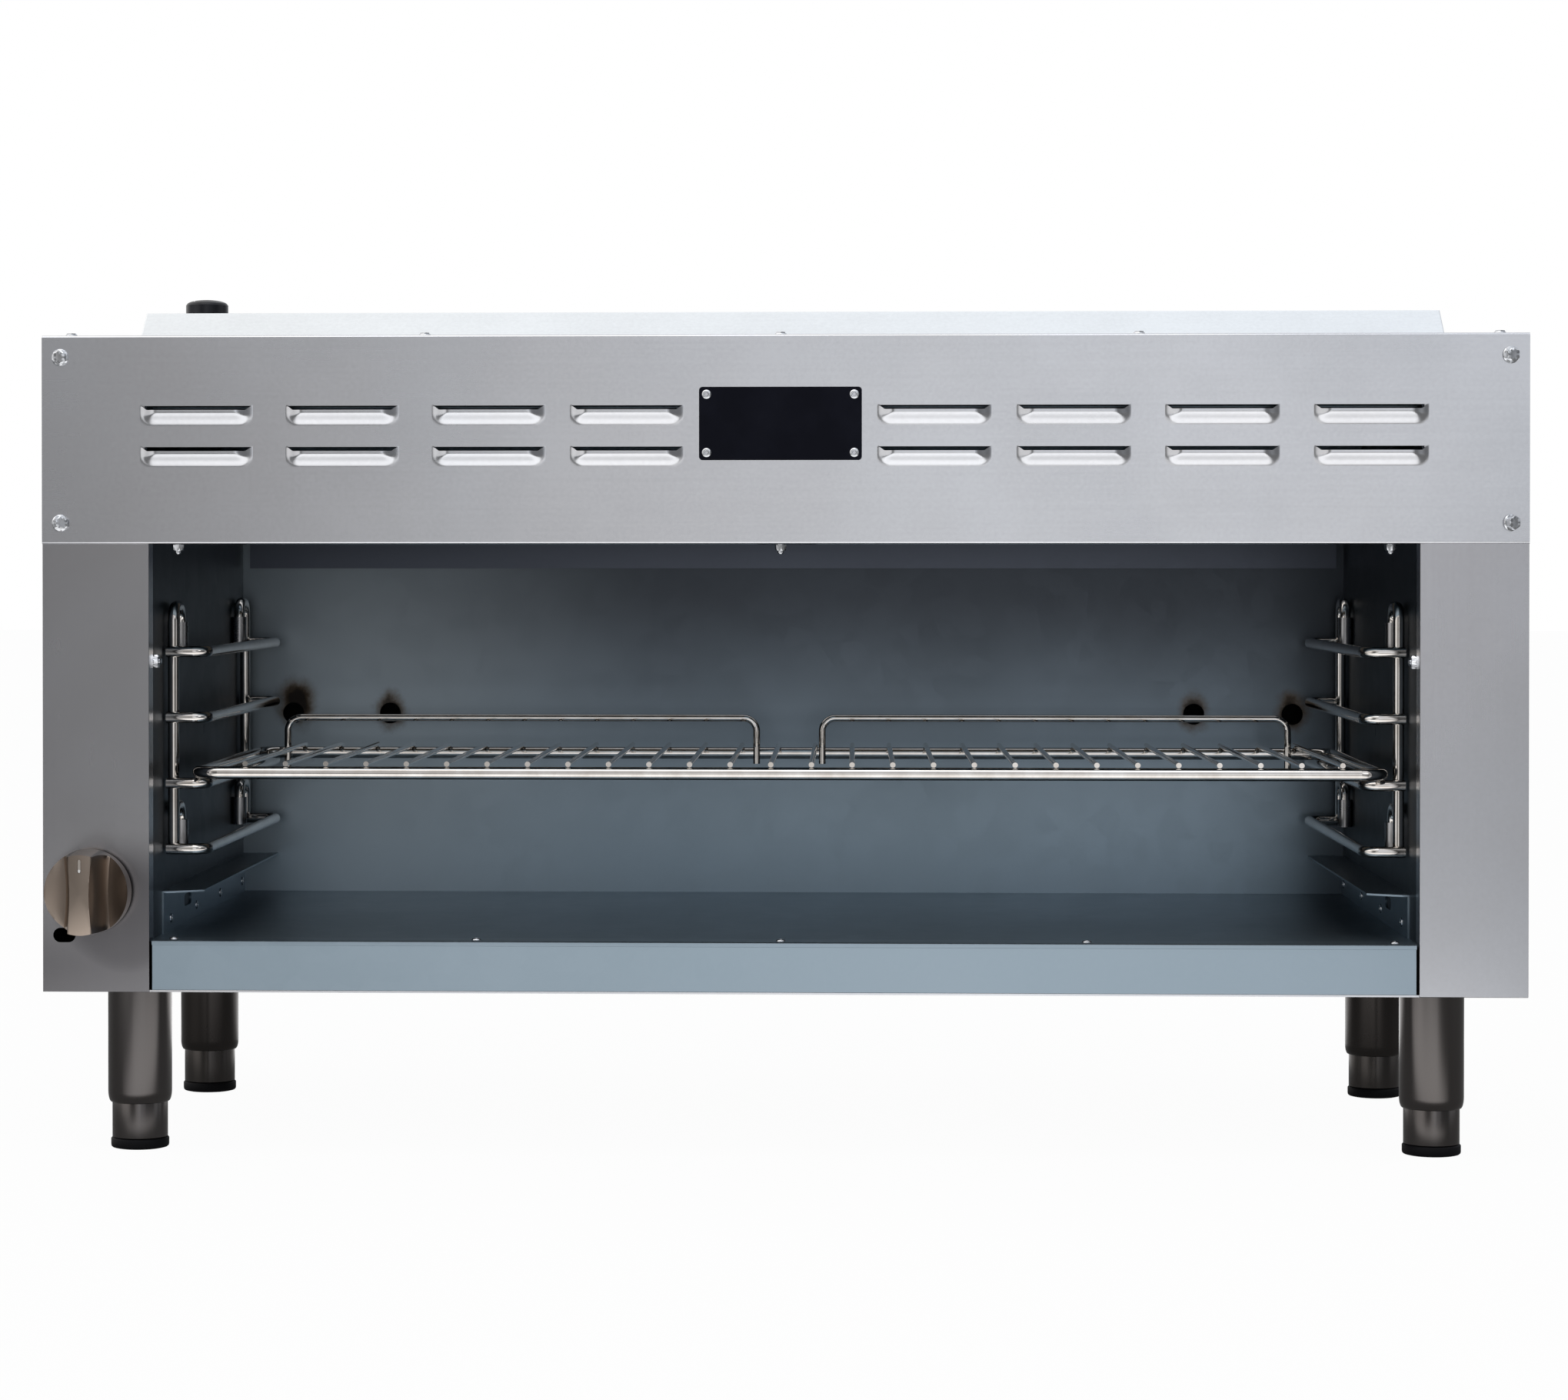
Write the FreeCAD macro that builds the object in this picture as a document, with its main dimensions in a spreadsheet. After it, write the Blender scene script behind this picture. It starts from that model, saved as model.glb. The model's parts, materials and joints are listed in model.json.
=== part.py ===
import FreeCAD, Part
import math
import os
import Sketcher
from FreeCAD import Placement, Rotation, Vector

# Cheese melter: an open-fronted gas infrared broiler on four legs.
# Millimetres. +Z is up, the open front faces -Y, and the feet stand on z = 0.
# The origin lies under the middle of everything, from the knob to the gas regulator.

doc = FreeCAD.newDocument("CheeseMelter")
sheet = doc.addObject("Spreadsheet::Sheet", "Sizes")

DRIVING = [
    ("bodyWidth", 914.4, "outside width of the cabinet"),
    ("bodyDepth", 457.2, "front face to rear face"),
    ("bodyHeight", 406.4, "cabinet without legs and riser"),
    ("legHeight", 102.5, "floor to cabinet bottom"),
    ("gauge", 1.2, "sheet metal"),
    ("cutOver", 2, "how far a cutting tool runs past what it cuts"),
    ("panelHeight", 129, "louvered front panel"),
    ("panelTopFlange", 22, "front panel fold over the top"),
    ("panelReturn", 20, "front panel fold under its lower edge"),
    ("stileWidth", 66.3, "front of each side panel"),
    ("stileReturn", 15, "fold of the stile into the opening"),
    ("sideFoot", 24, "fold of the side panel under the cabinet"),
    ("louverApart", 22.6, "one louver to the next"),
    ("louverTall", 12, "one louver along Z"),
    ("louverProud", 5, "louver hood in front of the panel"),
    ("louverEndSlope", 5, "slope at each end of a hood"),
    ("louverMouth", 3.2, "open slit at the top of a hood"),
    ("louverRowPitch", 25.4, "between the two rows"),
    ("louverTopDrop", 43.6, "panel top to the upper row"),
    ("louverColumns", 4, "louvers in a row, each side of the plate"),
    ("louverFirst", 94.5, "middle of the cabinet to the first louver"),
    ("louverSide", 96.2, "cabinet side to the middle of the last louver"),
    ("louverShift", 5.3, "how much nearer the first two louvers are"),
    ("plateLong", 100, "bare plate on the front panel"),
    ("plateTall", 45, ""),
    ("plateThick", 1, ""),
    ("plateCorner", 2.2, "rounded corner"),
    ("plateTopDrop", 32.4, "panel top to plate top"),
    ("plateInset", 4.6, "plate edge to its rivets"),
    ("rivetRound", 3, "rivet head radius"),
    ("rivetProud", 1, "rivet head height"),
    ("rivetShank", 1.6, "rivet shank radius"),
    ("boltSide", 11.5, "cabinet side to a corner bolt"),
    ("boltTopDrop", 13.6, "panel top to the upper bolts"),
    ("boltLowRise", 13, "panel lower edge to the lower bolts"),
    ("boltFlangeRound", 5.3, "flange radius of a bolt"),
    ("boltFlangeThick", 1.1, ""),
    ("boltHeadRound", 4.5, "hexagon corner radius"),
    ("boltHeadTall", 3.4, ""),
    ("boltShank", 2.5, "shank radius"),
    ("boltLong", 8, "shank behind the flange"),
    ("topScrewInset", 11, "front face to the top screws"),
    ("topScrewSide", 16.6, "cabinet side to the outer top screws"),
    ("screwHeadRound", 3.8, ""),
    ("screwHeadTall", 1.9, ""),
    ("riserInset", 7, "cabinet side to the riser end"),
    ("riserDeep", 114, "foot of the riser slope to the riser rear"),
    ("riserRun", 48, "slope of the riser, front to back"),
    ("riserTall", 35.5, "riser above the top cover"),
    ("riserAway", 57.2, "riser rear to the rear face"),
    ("flueRim", 8, "riser foot left standing round the flue opening"),
    ("linerAway", 57.2, "back liner to the rear face"),
    ("railTall", 30.9, "front rail"),
    ("railLift", 1.4, "rail above the cabinet bottom"),
    ("railGap", 1.7, "rail end to stile"),
    ("railLip", 22, "rail fold over the floor"),
    ("railHem", 1, "hem in front of the rail"),
    ("railHemTall", 3, ""),
    ("floorRivetInset", 11, "front face to the rail rivets"),
    ("floorRivetSide", 15, "liner to the outer rail rivets"),
    ("holeRound", 7.5, "round holes of the back liner"),
    ("holeRise", 126.2, "floor to those holes"),
    ("holeSide", 36.1, "liner to the outer holes"),
    ("holeApart", 69.6, "outer holes to the inner ones"),
    ("slitInset", 222, "front face to the liner slit"),
    ("slitRise", 121.7, "floor to the slit"),
    ("slitTall", 6, ""),
    ("slitWide", 1.4, ""),
    ("nutInset", 21.5, "front face to the side nuts"),
    ("nutDrop", 72.8, "panel edge down to the side nuts"),
    ("nutRound", 4.6, "hexagon corner radius"),
    ("nutThick", 4, ""),
    ("nutStud", 2.4, "stud radius"),
    ("nutStudProud", 1.6, "stud past its nut"),
    ("lipTall", 16.5, "header lip under the ceiling"),
    ("lipInset", 6, "back liner to header lip"),
    ("lipEndGap", 6, "liner to header lip end"),
    ("tipRound", 2, "ceiling screw radius"),
    ("tipProud", 6.4, "screw tip under the panel fold"),
    ("tipSide", 18, "liner to the outer screw tips"),
    ("tipHeadTall", 3, ""),
    ("burnerSide", 12.1, "liner to the end of a burner"),
    ("burnerSplit", 8, "middle of the cabinet to each burner"),
    ("burnerAway", 10, "burner to the rear wall of the heat shield"),
    ("burnerTall", 48, ""),
    ("burnerFront", 110, "front face to the burners"),
    ("burnerRim", 12, "flange that rests on the ceiling"),
    ("tileThick", 14, "ceramic tile"),
    ("tileGap", 0.5, "tile to burner wall"),
    ("screenRod", 1, "radius of a screen rod"),
    ("screenRods", 15, "screen rods for each burner"),
    ("venturiRound", 17, "radius of the mixing tube"),
    ("venturiMouth", 24, "radius of its bell"),
    ("venturiLong", 50, ""),
    ("venturiWall", 1.5, ""),
    ("venturiRise", 28, "ceiling to the mixing tube axis"),
    ("pipeRound", 8.5, "gas pipe radius"),
    ("pipeWall", 2, ""),
    ("pipeBend", 22, "pipe bend radius"),
    ("manifoldInset", 36, "front face to the manifold"),
    ("manifoldPast", 20, "manifold past the last orifice"),
    ("orificeRound", 5, ""),
    ("orificeLong", 12, ""),
    ("pilotInset", 92, "front face to the pilot"),
    ("pilotRound", 5, ""),
    ("pilotTall", 24, ""),
    ("pilotPipe", 2.5, "pilot tube radius"),
    ("shieldRise", 82, "ceiling to the heat shield"),
    ("shieldFront", 24, "front face to the heat shield"),
    ("shieldPast", 14, "foot of the riser slope to the shield's rear wall"),
    ("valveInset", 22, "front face to the valve"),
    ("valveRound", 14, ""),
    ("valveLong", 36, ""),
    ("valveNut", 18, "corner radius of the valve's collar"),
    ("valveNutThick", 8, ""),
    ("stemRound", 4, ""),
    ("stemHoleGap", 1, "stem to panel"),
    ("stemGap", 0.05, "running fit of the stem"),
    ("knobRise", 62.8, "cabinet bottom to the knob axis"),
    ("knobShift", 3.2, "knob's axis outward from the middle of the stile"),
    ("knobRound", 26.3, "knob radius at its foot"),
    ("knobTaper", 1.2, "how much the skirt narrows"),
    ("knobSkirt", 13, "skirt of the knob"),
    ("knobGap", 3, "knob to panel"),
    ("knobReach", 38, "knob in front of the cabinet"),
    ("knobDish", 3, "depth of the dished face"),
    ("knobGripWide", 15, "grip bar at its ends"),
    ("knobGripWaist", 11.6, "grip bar at its middle"),
    ("knobGripLong", 49, ""),
    ("knobSocketDeep", 22, "bore that takes the stem"),
    ("pointerLong", 8.5, ""),
    ("pointerWide", 2.4, ""),
    ("pointerDeep", 0.8, ""),
    ("sightDrop", 27.6, "knob axis down to the sight hole"),
    ("sightAside", 16.5, "knob axis to the sight hole"),
    ("sightWide", 14, ""),
    ("sightTall", 9, ""),
    ("regulatorSide", 25.1, "cabinet side to the regulator axis"),
    ("regulatorRound", 25, "diaphragm case radius"),
    ("regulatorTall", 41, "diaphragm case"),
    ("regulatorBlock", 36, "body under the case"),
    ("regulatorReach", 66, "rear face to the regulator's inlet end"),
    ("regulatorAway", 32, "rear face to the regulator axis"),
    ("portDrop", 18.4, "cabinet top to the gas ports"),
    ("portBoss", 17, "radius of a port boss"),
    ("inletBore", 12.2, "radius of the gas inlet"),
    ("inletDeep", 16, ""),
    ("capRound", 15.5, "vent cap radius"),
    ("capTall", 12, ""),
    ("capDome", 4.5, ""),
    ("bracketTall", 26, "floor bracket"),
    ("bracketWide", 25, "its inward flange"),
    ("bracketFront", 55, "front face to the bracket"),
    ("bracketChamfer", 13, ""),
    ("bracketRivetRise", 6.8, "floor to bracket rivets"),
    ("bracketRivetFirst", 82, "front face to the first rivet"),
    ("bracketRivets", 4, "rivets in a bracket"),
    ("bracketRivetLast", 15, "last rivet to the back liner"),
    ("slotFirst", 134, "front face to the bracket slot"),
    ("slotLong", 28, ""),
    ("slotTall", 8, ""),
    ("slotRise", 13.6, "floor to the slot middle"),
    ("guideRod", 3.5, "radius of the guide wire"),
    ("guideFront", 70, "front face to the front upright"),
    ("guideAway", 25, "rear upright to the back liner"),
    ("rungFirst", 52.2, "floor to the lowest rung"),
    ("rungDrop", 67.8, "panel edge down to the highest rung"),
    ("rungCount", 4, ""),
    ("rungReach", 26.6, "liner to the middle of the rung"),
    ("rungBend", 8, ""),
    ("rungEnd", 1.6, "liner to the end of a rung"),
    ("hookAcross", 27, "upright to socket"),
    ("hookBend", 9, ""),
    ("hookDrop", 39.5, "panel edge down to the upper hooks"),
    ("hookLower", 78.8, "floor to the middle of the lower hooks"),
    ("hookDeep", 24, "how far a hook reaches down"),
    ("socketRound", 5, "socket tube radius"),
    ("socketGap", 0.4, "hook to socket"),
    ("socketTall", 19, ""),
    ("socketDrop", 10, "hook middle to socket top"),
    ("guideLift", 24, "lift that frees a guide"),
    ("rackRod", 4, "radius of the rack frame"),
    ("rackSide", 16.6, "liner to the rack end, with the rack in the middle"),
    ("rackShift", 3, "rack to the right of the middle"),
    ("rackFront", 42, "front face to the front rod"),
    ("rackAway", 79, "rear rod to the back liner"),
    ("rackCorner", 14, "bend of the frame rod"),
    ("rackRung", 2, "which rung carries the rack, from below"),
    ("rackWire", 1.7, "radius of a cross wire"),
    ("rackWireSide", 32.6, "rack end to the first cross wire, with the wires in the middle"),
    ("rackWireShift", 3, "cross wires to the right in the frame"),
    ("rackWireCount", 28, ""),
    ("restGap", 0.3, "rack above the rungs"),
    ("stopRod", 2.4, "radius of the stop wire"),
    ("stopTall", 24.5, "rear rod to the top of a stop"),
    ("stopLeft", 22, "cabinet middle to the inner leg of the left stop"),
    ("stopRight", 23.4, "the same for the right stop"),
    ("stopLeftEnd", 348, "cabinet middle to the outer leg of the left stop"),
    ("stopRightEnd", 343.6, "the same for the right stop"),
    ("stopBend", 9, ""),
    ("stopOuterDrop", 10, "outer leg below the rod's middle"),
    ("stopInnerDrop", 7, "inner leg below the rod's middle"),
    ("legSide", 52.2, "cabinet side to leg axis"),
    ("legFront", 48.7, "front face to the front legs"),
    ("legAway", 130, "rear legs to the rear face"),
    ("legRound", 20, "outer tube radius"),
    ("legWall", 2, ""),
    ("legTubeLong", 73.5, ""),
    ("legShoulder", 7, "rounded end of the outer tube"),
    ("legGap", 0.1, "inner tube to outer tube"),
    ("legCollar", 2.6, "how much the outer tube closes in on the inner one"),
    ("footTubeLong", 62, "inner tube"),
    ("padTall", 6.5, "foot pad"),
    ("padProud", 0.8, "pad radius past the inner tube"),
    ("padFloor", 3, "bevel under the pad"),
    ("headShare", 0.62, "small end of a head"),
    ("neckShare", 0.6, "where the mixing tube is narrowest"),
    ("blockShare", 0.62, "regulator body to its case, radius"),
    ("caseLowShare", 0.2, "start of the widest part of the case"),
    ("caseHighShare", 0.55, "end of the widest part of the case"),
    ("caseNeckShare", 0.8, "start of the spring tower"),
    ("towerShare", 0.66, "spring tower to the case, radius"),
    ("capShoulderShare", 0.85, "vent cap at its shoulder, radius"),
    ("capTopShare", 0.45, "flat on the vent cap, radius"),
    ("capDropShare", 0.4, "height of its shoulder"),
    ("seatShare", 0.7, "valve seat to the valve body, radius"),
    ("teeShare", 1.4, "reach of the tee past the valve body"),
    ("inletShare", 0.3, "depth of the valve's inlet"),
    ("dishShare", 0.6, "floor of the dish to the knob, radius"),
    ("collarShare", 0.35, "first step of a leg's rounded end"),
    ("collarEndShare", 0.9, "second step of a leg's rounded end"),
    ("weldShare", 0.9, "how far apart welded wires are, of their radii"),
    ("supplyInset", 28.6, "rear face to the supply pipe"),
    ("shallowCut", 0.2, "a small overrun beside another face"),
    ("touchGap", 0.03, "closest that wire ends may come to be joined"),
    ("backScrewSide", 62, "cabinet side to the outer rear screws"),
    ("backScrewEdge", 14, "rear panel edge to its screws"),
]

DERIVED = [
    ("halfWidth", "=bodyWidth / 2"),
    ("frontY", "=-(bodyDepth + regulatorReach - knobReach) / 2"),
    ("rearY", "=frontY + bodyDepth"),
    ("baseZ", "=legHeight"),
    ("topZ", "=legHeight + bodyHeight"),
    ("panelZ", "=topZ - panelHeight"),
    ("coverZ", "=topZ - gauge"),
    ("stileX", "=halfWidth - stileWidth"),
    ("linerX", "=stileX + gauge"),
    ("floorZ", "=baseZ + railLift + railTall"),
    ("ceilingZ", "=panelZ + gauge"),
    ("ceilingTopZ", "=ceilingZ + gauge"),
    ("linerRear", "=bodyDepth - linerAway"),
    ("linerY", "=frontY + linerRear"),
    ("openTall", "=panelZ - floorZ"),
    ("riserRear", "=bodyDepth - riserAway"),
    ("riserFrontFoot", "=riserRear - riserDeep"),
    ("shieldRear", "=riserFrontFoot + shieldPast"),
    ("burnerDeep", "=shieldRear - burnerAway - burnerFront"),
    ("burnerLong", "=linerX - burnerSide - burnerSplit"),
    ("burnerMiddle", "=burnerSplit + burnerLong / 2"),
    ("holeOuter", "=linerX - holeSide"),
    ("holeInner", "=holeOuter - holeApart"),
    ("nutRise", "=openTall - nutDrop"),
    ("hookUpper", "=openTall - hookDrop"),
    ("rungPitch", "=(openTall - rungFirst - rungDrop) / (rungCount - 1)"),
    ("guideRear", "=linerRear - guideAway"),
    ("bracketRivetPitch", "=(linerRear - bracketRivetFirst - bracketRivetLast) / (bracketRivets - 1)"),
    ("rackHalf", "=linerX - rackSide"),
    ("rackDeep", "=linerRear - rackAway - rackFront"),
    ("rackWirePitch", "=2 * (rackHalf - rackWireSide) / (rackWireCount - 1)"),
    ("legRear", "=bodyDepth - legAway"),
    ("louverPitch", "=(halfWidth - louverSide - louverFirst + louverShift) / (louverColumns - 1)"),
    ("louverInnerPitch", "=louverPitch - louverShift"),
    ("louverLong", "=louverPitch - louverApart"),
    ("insideX", "=halfWidth - gauge"),
    ("knobX", "=-(halfWidth - stileWidth / 2 + knobShift)"),
    ("knobZ", "=baseZ + knobRise"),
    ("portX", "=-(halfWidth - regulatorSide)"),
    ("portZ", "=topZ - portDrop"),
    ("regulatorY", "=rearY + regulatorAway"),
    ("venturiZ", "=ceilingTopZ + venturiRise"),
    ("manifoldY", "=frontY + manifoldInset"),
    ("burnerFrontY", "=frontY + burnerFront"),
    ("riserX", "=halfWidth - riserInset"),
    ("guideX", "=linerX - socketRound"),
    ("footRound", "=legRound - legCollar"),
]


def fill_sheet():
    row = 0
    for name, value, note in DRIVING:
        row += 1
        sheet.set("A%d" % row, name)
        sheet.set("B%d" % row, str(value))
        sheet.set("C%d" % row, note)
        sheet.setAlias("B%d" % row, name)
    for name, formula in DERIVED:
        row += 1
        sheet.set("A%d" % row, name)
        sheet.set("B%d" % row, formula)
        sheet.setAlias("B%d" % row, name)
    doc.recompute()


fill_sheet()
names = [entry[0] for entry in DRIVING + DERIVED]
size = {name: float(sheet.get(name)) for name in names}
parts = []


def full(text):
    # A size's name in an expression becomes its cell in the sheet.
    word = ""
    out = ""
    for letter in text + " ":
        if letter.isalnum():
            word += letter
            continue
        out += "Sizes." + word if word in size else word
        out += letter
        word = ""
    return out.strip()


def bind(obj, **cells):
    for prop, text in cells.items():
        obj.setExpression(prop.replace("_", "."), full(text))
    return obj


def place(obj, x, y, z):
    return bind(obj, Placement_Base_x=x, Placement_Base_y=y, Placement_Base_z=z)


def block(name, x0, x1, y0, y1, z0, z1):
    box = doc.addObject("Part::Box", name)
    bind(box, Length="(%s) - (%s)" % (x1, x0), Width="(%s) - (%s)" % (y1, y0))
    bind(box, Height="(%s) - (%s)" % (z1, z0))
    return place(box, x0, y0, z0)


TURNS = {"x": Rotation(Vector(0, 1, 0), 90), "y": Rotation(Vector(1, 0, 0), -90), "z": Rotation()}


def rod(name, radius, length, x, y, z, axis="z"):
    cylinder = doc.addObject("Part::Cylinder", name)
    bind(cylinder, Radius=radius, Height=length)
    cylinder.Placement = Placement(Vector(), TURNS[axis])
    return place(cylinder, x, y, z)


def cone(name, radius1, radius2, length, x, y, z, axis="z"):
    shape = doc.addObject("Part::Cone", name)
    bind(shape, Radius1=radius1, Radius2=radius2, Height=length)
    shape.Placement = Placement(Vector(), TURNS[axis])
    return place(shape, x, y, z)


def hexagon(name, radius, length, x, y, z, axis="z"):
    prism = doc.addObject("Part::Prism", name)
    prism.Polygon = 6
    bind(prism, Circumradius=radius, Height=length)
    prism.Placement = Placement(Vector(), TURNS[axis])
    return place(prism, x, y, z)


def fuse(name, pieces):
    union = doc.addObject("Part::MultiFuse", name)
    union.Shapes = pieces
    return union


def cut(name, base, tools):
    tool = tools[0] if len(tools) == 1 else fuse(name + "_cuts", tools)
    result = doc.addObject("Part::Cut", name)
    result.Base = base
    result.Tool = tool
    return result


def group(name, pieces):
    compound = doc.addObject("Part::Compound", name)
    compound.Links = pieces
    return compound


def mirror(name, source):
    image = doc.addObject("Part::Mirroring", name)
    image.Source = source
    image.Base = Vector()
    image.Normal = Vector(1, 0, 0)
    return image


def outline(body, name, role, points):
    # A closed outline of straight lines. Every corner has its two places in the sheet's terms.
    sketch = body.newObject("Sketcher::SketchObject", name)
    plane = [item for item in body.Origin.OriginFeatures if item.Role == role][0]
    sketch.AttachmentSupport = [(plane, "")]
    sketch.MapMode = "FlatFace"
    count = len(points)
    turn = 2 * math.pi / count
    start = [Vector(math.cos(turn * i), math.sin(turn * i), 0) for i in range(count)]
    for i in range(count):
        sketch.addGeometry(Part.LineSegment(start[i], start[(i + 1) % count]))
    for i in range(count):
        sketch.addConstraint(Sketcher.Constraint("Coincident", i, 2, (i + 1) % count, 1))
    for i, (across, up) in enumerate(points):
        for kind, text, value in (("DistanceX", across, start[i].x), ("DistanceY", up, start[i].y)):
            index = sketch.addConstraint(Sketcher.Constraint(kind, -1, 1, i, 1, value))
            sketch.setExpression("Constraints[%d]" % index, full(text))
    return sketch


def folded(name, role, points, start, length):
    # A sheet metal profile, padded square to its plane from start along length.
    body = doc.addObject("PartDesign::Body", name)
    sketch = outline(body, name + "_profile", role, points)
    sketch.setExpression("AttachmentOffset.Base.z", full(start))
    pad = body.newObject("PartDesign::Pad", name + "_pad")
    pad.Profile = sketch
    pad.setExpression("Length", full(length))
    sketch.Visibility = False
    return body


def turned(name, points, x, y, z, axis="z"):
    # A turned piece: a half section (radius, height) revolved about its own axis.
    body = doc.addObject("PartDesign::Body", name)
    sketch = outline(body, name + "_section", "XZ_Plane", points)
    spin = body.newObject("PartDesign::Revolution", name + "_turn")
    spin.Profile = sketch
    spin.ReferenceAxis = (sketch, ["V_Axis"])
    spin.Angle = 360
    body.Placement = Placement(Vector(), TURNS[axis])
    return place(body, x, y, z)


def bent_path(points, bend):
    # Straight runs joined by tangent arcs of one radius.
    edges = []
    last = points[0]
    for before, corner, after in zip(points, points[1:], points[2:]):
        back = (before - corner).normalize()
        ahead = (after - corner).normalize()
        half = back.getAngle(ahead) / 2
        trim = bend / math.tan(half)
        entry = corner + back * trim
        leave = corner + ahead * trim
        middle = (back + ahead).normalize()
        centre = corner + middle * (bend / math.sin(half))
        if entry.distanceToPoint(last) > size["touchGap"]:
            edges.append(Part.LineSegment(last, entry).toShape())
        edges.append(Part.Arc(entry, centre - middle * bend, leave).toShape())
        last = leave
    edges.append(Part.LineSegment(last, points[-1]).toShape())
    return Part.Wire(edges)


def bent_rod(points, radius, bend):
    path = bent_path(points, bend)
    first = (points[1] - points[0]).normalize()
    ring = Part.Wire([Part.makeCircle(radius, points[0], first)])
    return path.makePipeShell([ring], True, False)


def bent_pipe(points, radius, wall, bend):
    return bent_rod(points, radius, bend).cut(bent_rod(points, radius - wall, bend))


def straight(start, end, radius):
    return Part.makeCylinder(radius, (end - start).Length, start, end - start)


def free_form(name, shape):
    feature = doc.addObject("Part::Feature", name)
    feature.Shape = shape
    return feature


def keep(obj, label):
    obj.Label = label
    parts.append(obj)
    return obj


# Side panels: sheet, stile, fold into the opening and foot under the cabinet

def side_sheet(name):
    profile = [
        ("-halfWidth", "rearY"), ("-halfWidth", "frontY + gauge"), ("-stileX", "frontY + gauge"),
        ("-stileX", "frontY + gauge + stileReturn"), ("-linerX", "frontY + gauge + stileReturn"),
        ("-linerX", "frontY + 2 * gauge"), ("-insideX", "frontY + 2 * gauge"), ("-insideX", "rearY"),
    ]
    sheet_body = folded(name + "_sheet", "XY_Plane", profile, "baseZ", "bodyHeight - gauge")
    clear = block(name + "_clear", "-(linerX + cutOver)", "-(stileX - cutOver)", "frontY + 2 * gauge",
                  "frontY + gauge + stileReturn + cutOver", "panelZ", "topZ")
    clear_top = block(name + "_top", "-(linerX + gauge)", "-(stileX - cutOver)", "frontY",
                      "frontY + gauge + stileReturn + cutOver", "panelZ", "topZ")
    foot = block(name + "_foot", "-insideX", "-insideX + sideFoot", "frontY + 2 * gauge", "rearY - gauge",
                 "baseZ", "baseZ + gauge")
    return cut(name + "_bare", fuse(name + "_folds", [sheet_body, foot]), [clear, clear_top])


def bolt_places(side):
    x = "%s(halfWidth - boltSide)" % side
    return [(x, "topZ - boltTopDrop"), (x, "panelZ + boltLowRise")]


left_holes = [rod("left_bolt_hole_%d" % i, "boltShank", "gauge + 2 * cutOver", x, "frontY", z, "y")
              for i, (x, z) in enumerate(bolt_places("-"))]
stem_hole = rod("stem_hole", "stemRound + stemHoleGap", "gauge + 2 * cutOver", "knobX", "frontY",
                "knobZ", "y")
sight_mid = block("sight_mid", "knobX - sightAside - (sightWide - sightTall) / 2",
                  "knobX - sightAside + (sightWide - sightTall) / 2", "frontY", "frontY + gauge + cutOver",
                  "knobZ - sightDrop - sightTall / 2", "knobZ - sightDrop + sightTall / 2")
sight_ends = [rod("sight_end_%d" % i, "sightTall / 2", "gauge + cutOver",
                  "knobX - sightAside %s (sightWide - sightTall) / 2" % sign, "frontY",
                  "knobZ - sightDrop", "y") for i, sign in enumerate("+-")]
left_bare = side_sheet("left_side")
keep(cut("left_side_cut", left_bare, left_holes + [stem_hole, sight_mid] + sight_ends), "left_side_panel")
right_holes = cut("right_side_cut", side_sheet("right_side"),
                  [rod("right_bolt_hole_%d" % i, "boltShank", "gauge + 2 * cutOver", x, "frontY", z, "y")
                   for i, (x, z) in enumerate(bolt_places("-"))])
keep(mirror("right_side_mirror", right_holes), "right_side_panel")

# Front panel with two rows of louvers that open upwards

panel_profile = [
    ("frontY", "panelZ"), ("frontY + panelReturn", "panelZ"), ("frontY + panelReturn", "ceilingZ"),
    ("frontY + gauge", "ceilingZ"), ("frontY + gauge", "coverZ"), ("frontY + panelTopFlange", "coverZ"),
    ("frontY + panelTopFlange", "topZ"), ("frontY", "topZ"),
]
panel_sheet = folded("front_sheet", "YZ_Plane", panel_profile, "-halfWidth", "bodyWidth")
return_ends = [block("return_end_%d" % i, x0, x1, "frontY + gauge", "frontY + panelReturn + cutOver",
                     "panelZ - cutOver", "ceilingZ + shallowCut")
               for i, (x0, x1) in enumerate([("-(halfWidth + cutOver)", "-(stileX - railGap)"),
                                             ("stileX - railGap", "halfWidth + cutOver")])]


def louver_hood(name, x, z, shrink):
    # A hood stands on the panel and slopes in at its ends and its foot.
    wedge = doc.addObject("Part::Wedge", name)
    inner = "%d * gauge" % shrink
    bind(wedge, Xmin="-louverLong / 2 + " + inner, Xmax="louverLong / 2 - " + inner,
         X2min="-louverLong / 2 + louverEndSlope + " + inner,
         X2max="louverLong / 2 - louverEndSlope - " + inner, Ymin="0", Ymax="louverProud - " + inner,
         Zmin=inner, Zmax="louverTall", Z2min="louverTall - louverMouth", Z2max="louverTall")
    wedge.Placement = Placement(Vector(), Rotation(Vector(0, 0, 1), 180))
    return place(wedge, x, "frontY", z)


louver_columns = ["louverFirst"]
louver_columns += ["louverFirst + louverInnerPitch + %d * louverPitch" % i
                   for i in range(int(size["louverColumns"]) - 1)]
hoods = []
hollows = []
for side in ("-", ""):
    for column, place_x in enumerate(louver_columns):
        for line in range(2):
            tag = "%s_%d_%d" % ("left" if side else "right", column, line)
            louver_x = "%s(%s)" % (side, place_x)
            louver_z = "topZ - louverTopDrop - louverTall - %d * louverRowPitch" % line
            hoods.append(louver_hood("hood_" + tag, louver_x, louver_z, 0))
            hollows.append(louver_hood("hollow_" + tag, louver_x, louver_z, 1))
            reach = "louverLong / 2 - gauge"
            hollows.append(block("slot_" + tag, "%s - (%s)" % (louver_x, reach),
                                 "%s + %s" % (louver_x, reach), "frontY", "frontY + gauge + cutOver",
                                 louver_z + " + gauge", louver_z + " + louverTall"))
            hollows.append(block("mouth_" + tag, "%s - louverLong / 2 + louverEndSlope + gauge" % louver_x,
                                 "%s + louverLong / 2 - louverEndSlope - gauge" % louver_x,
                                 "frontY - louverProud + gauge", "frontY + gauge + cutOver",
                                 louver_z + " + louverTall - louverMouth / 2",
                                 louver_z + " + louverTall + gauge"))
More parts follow.
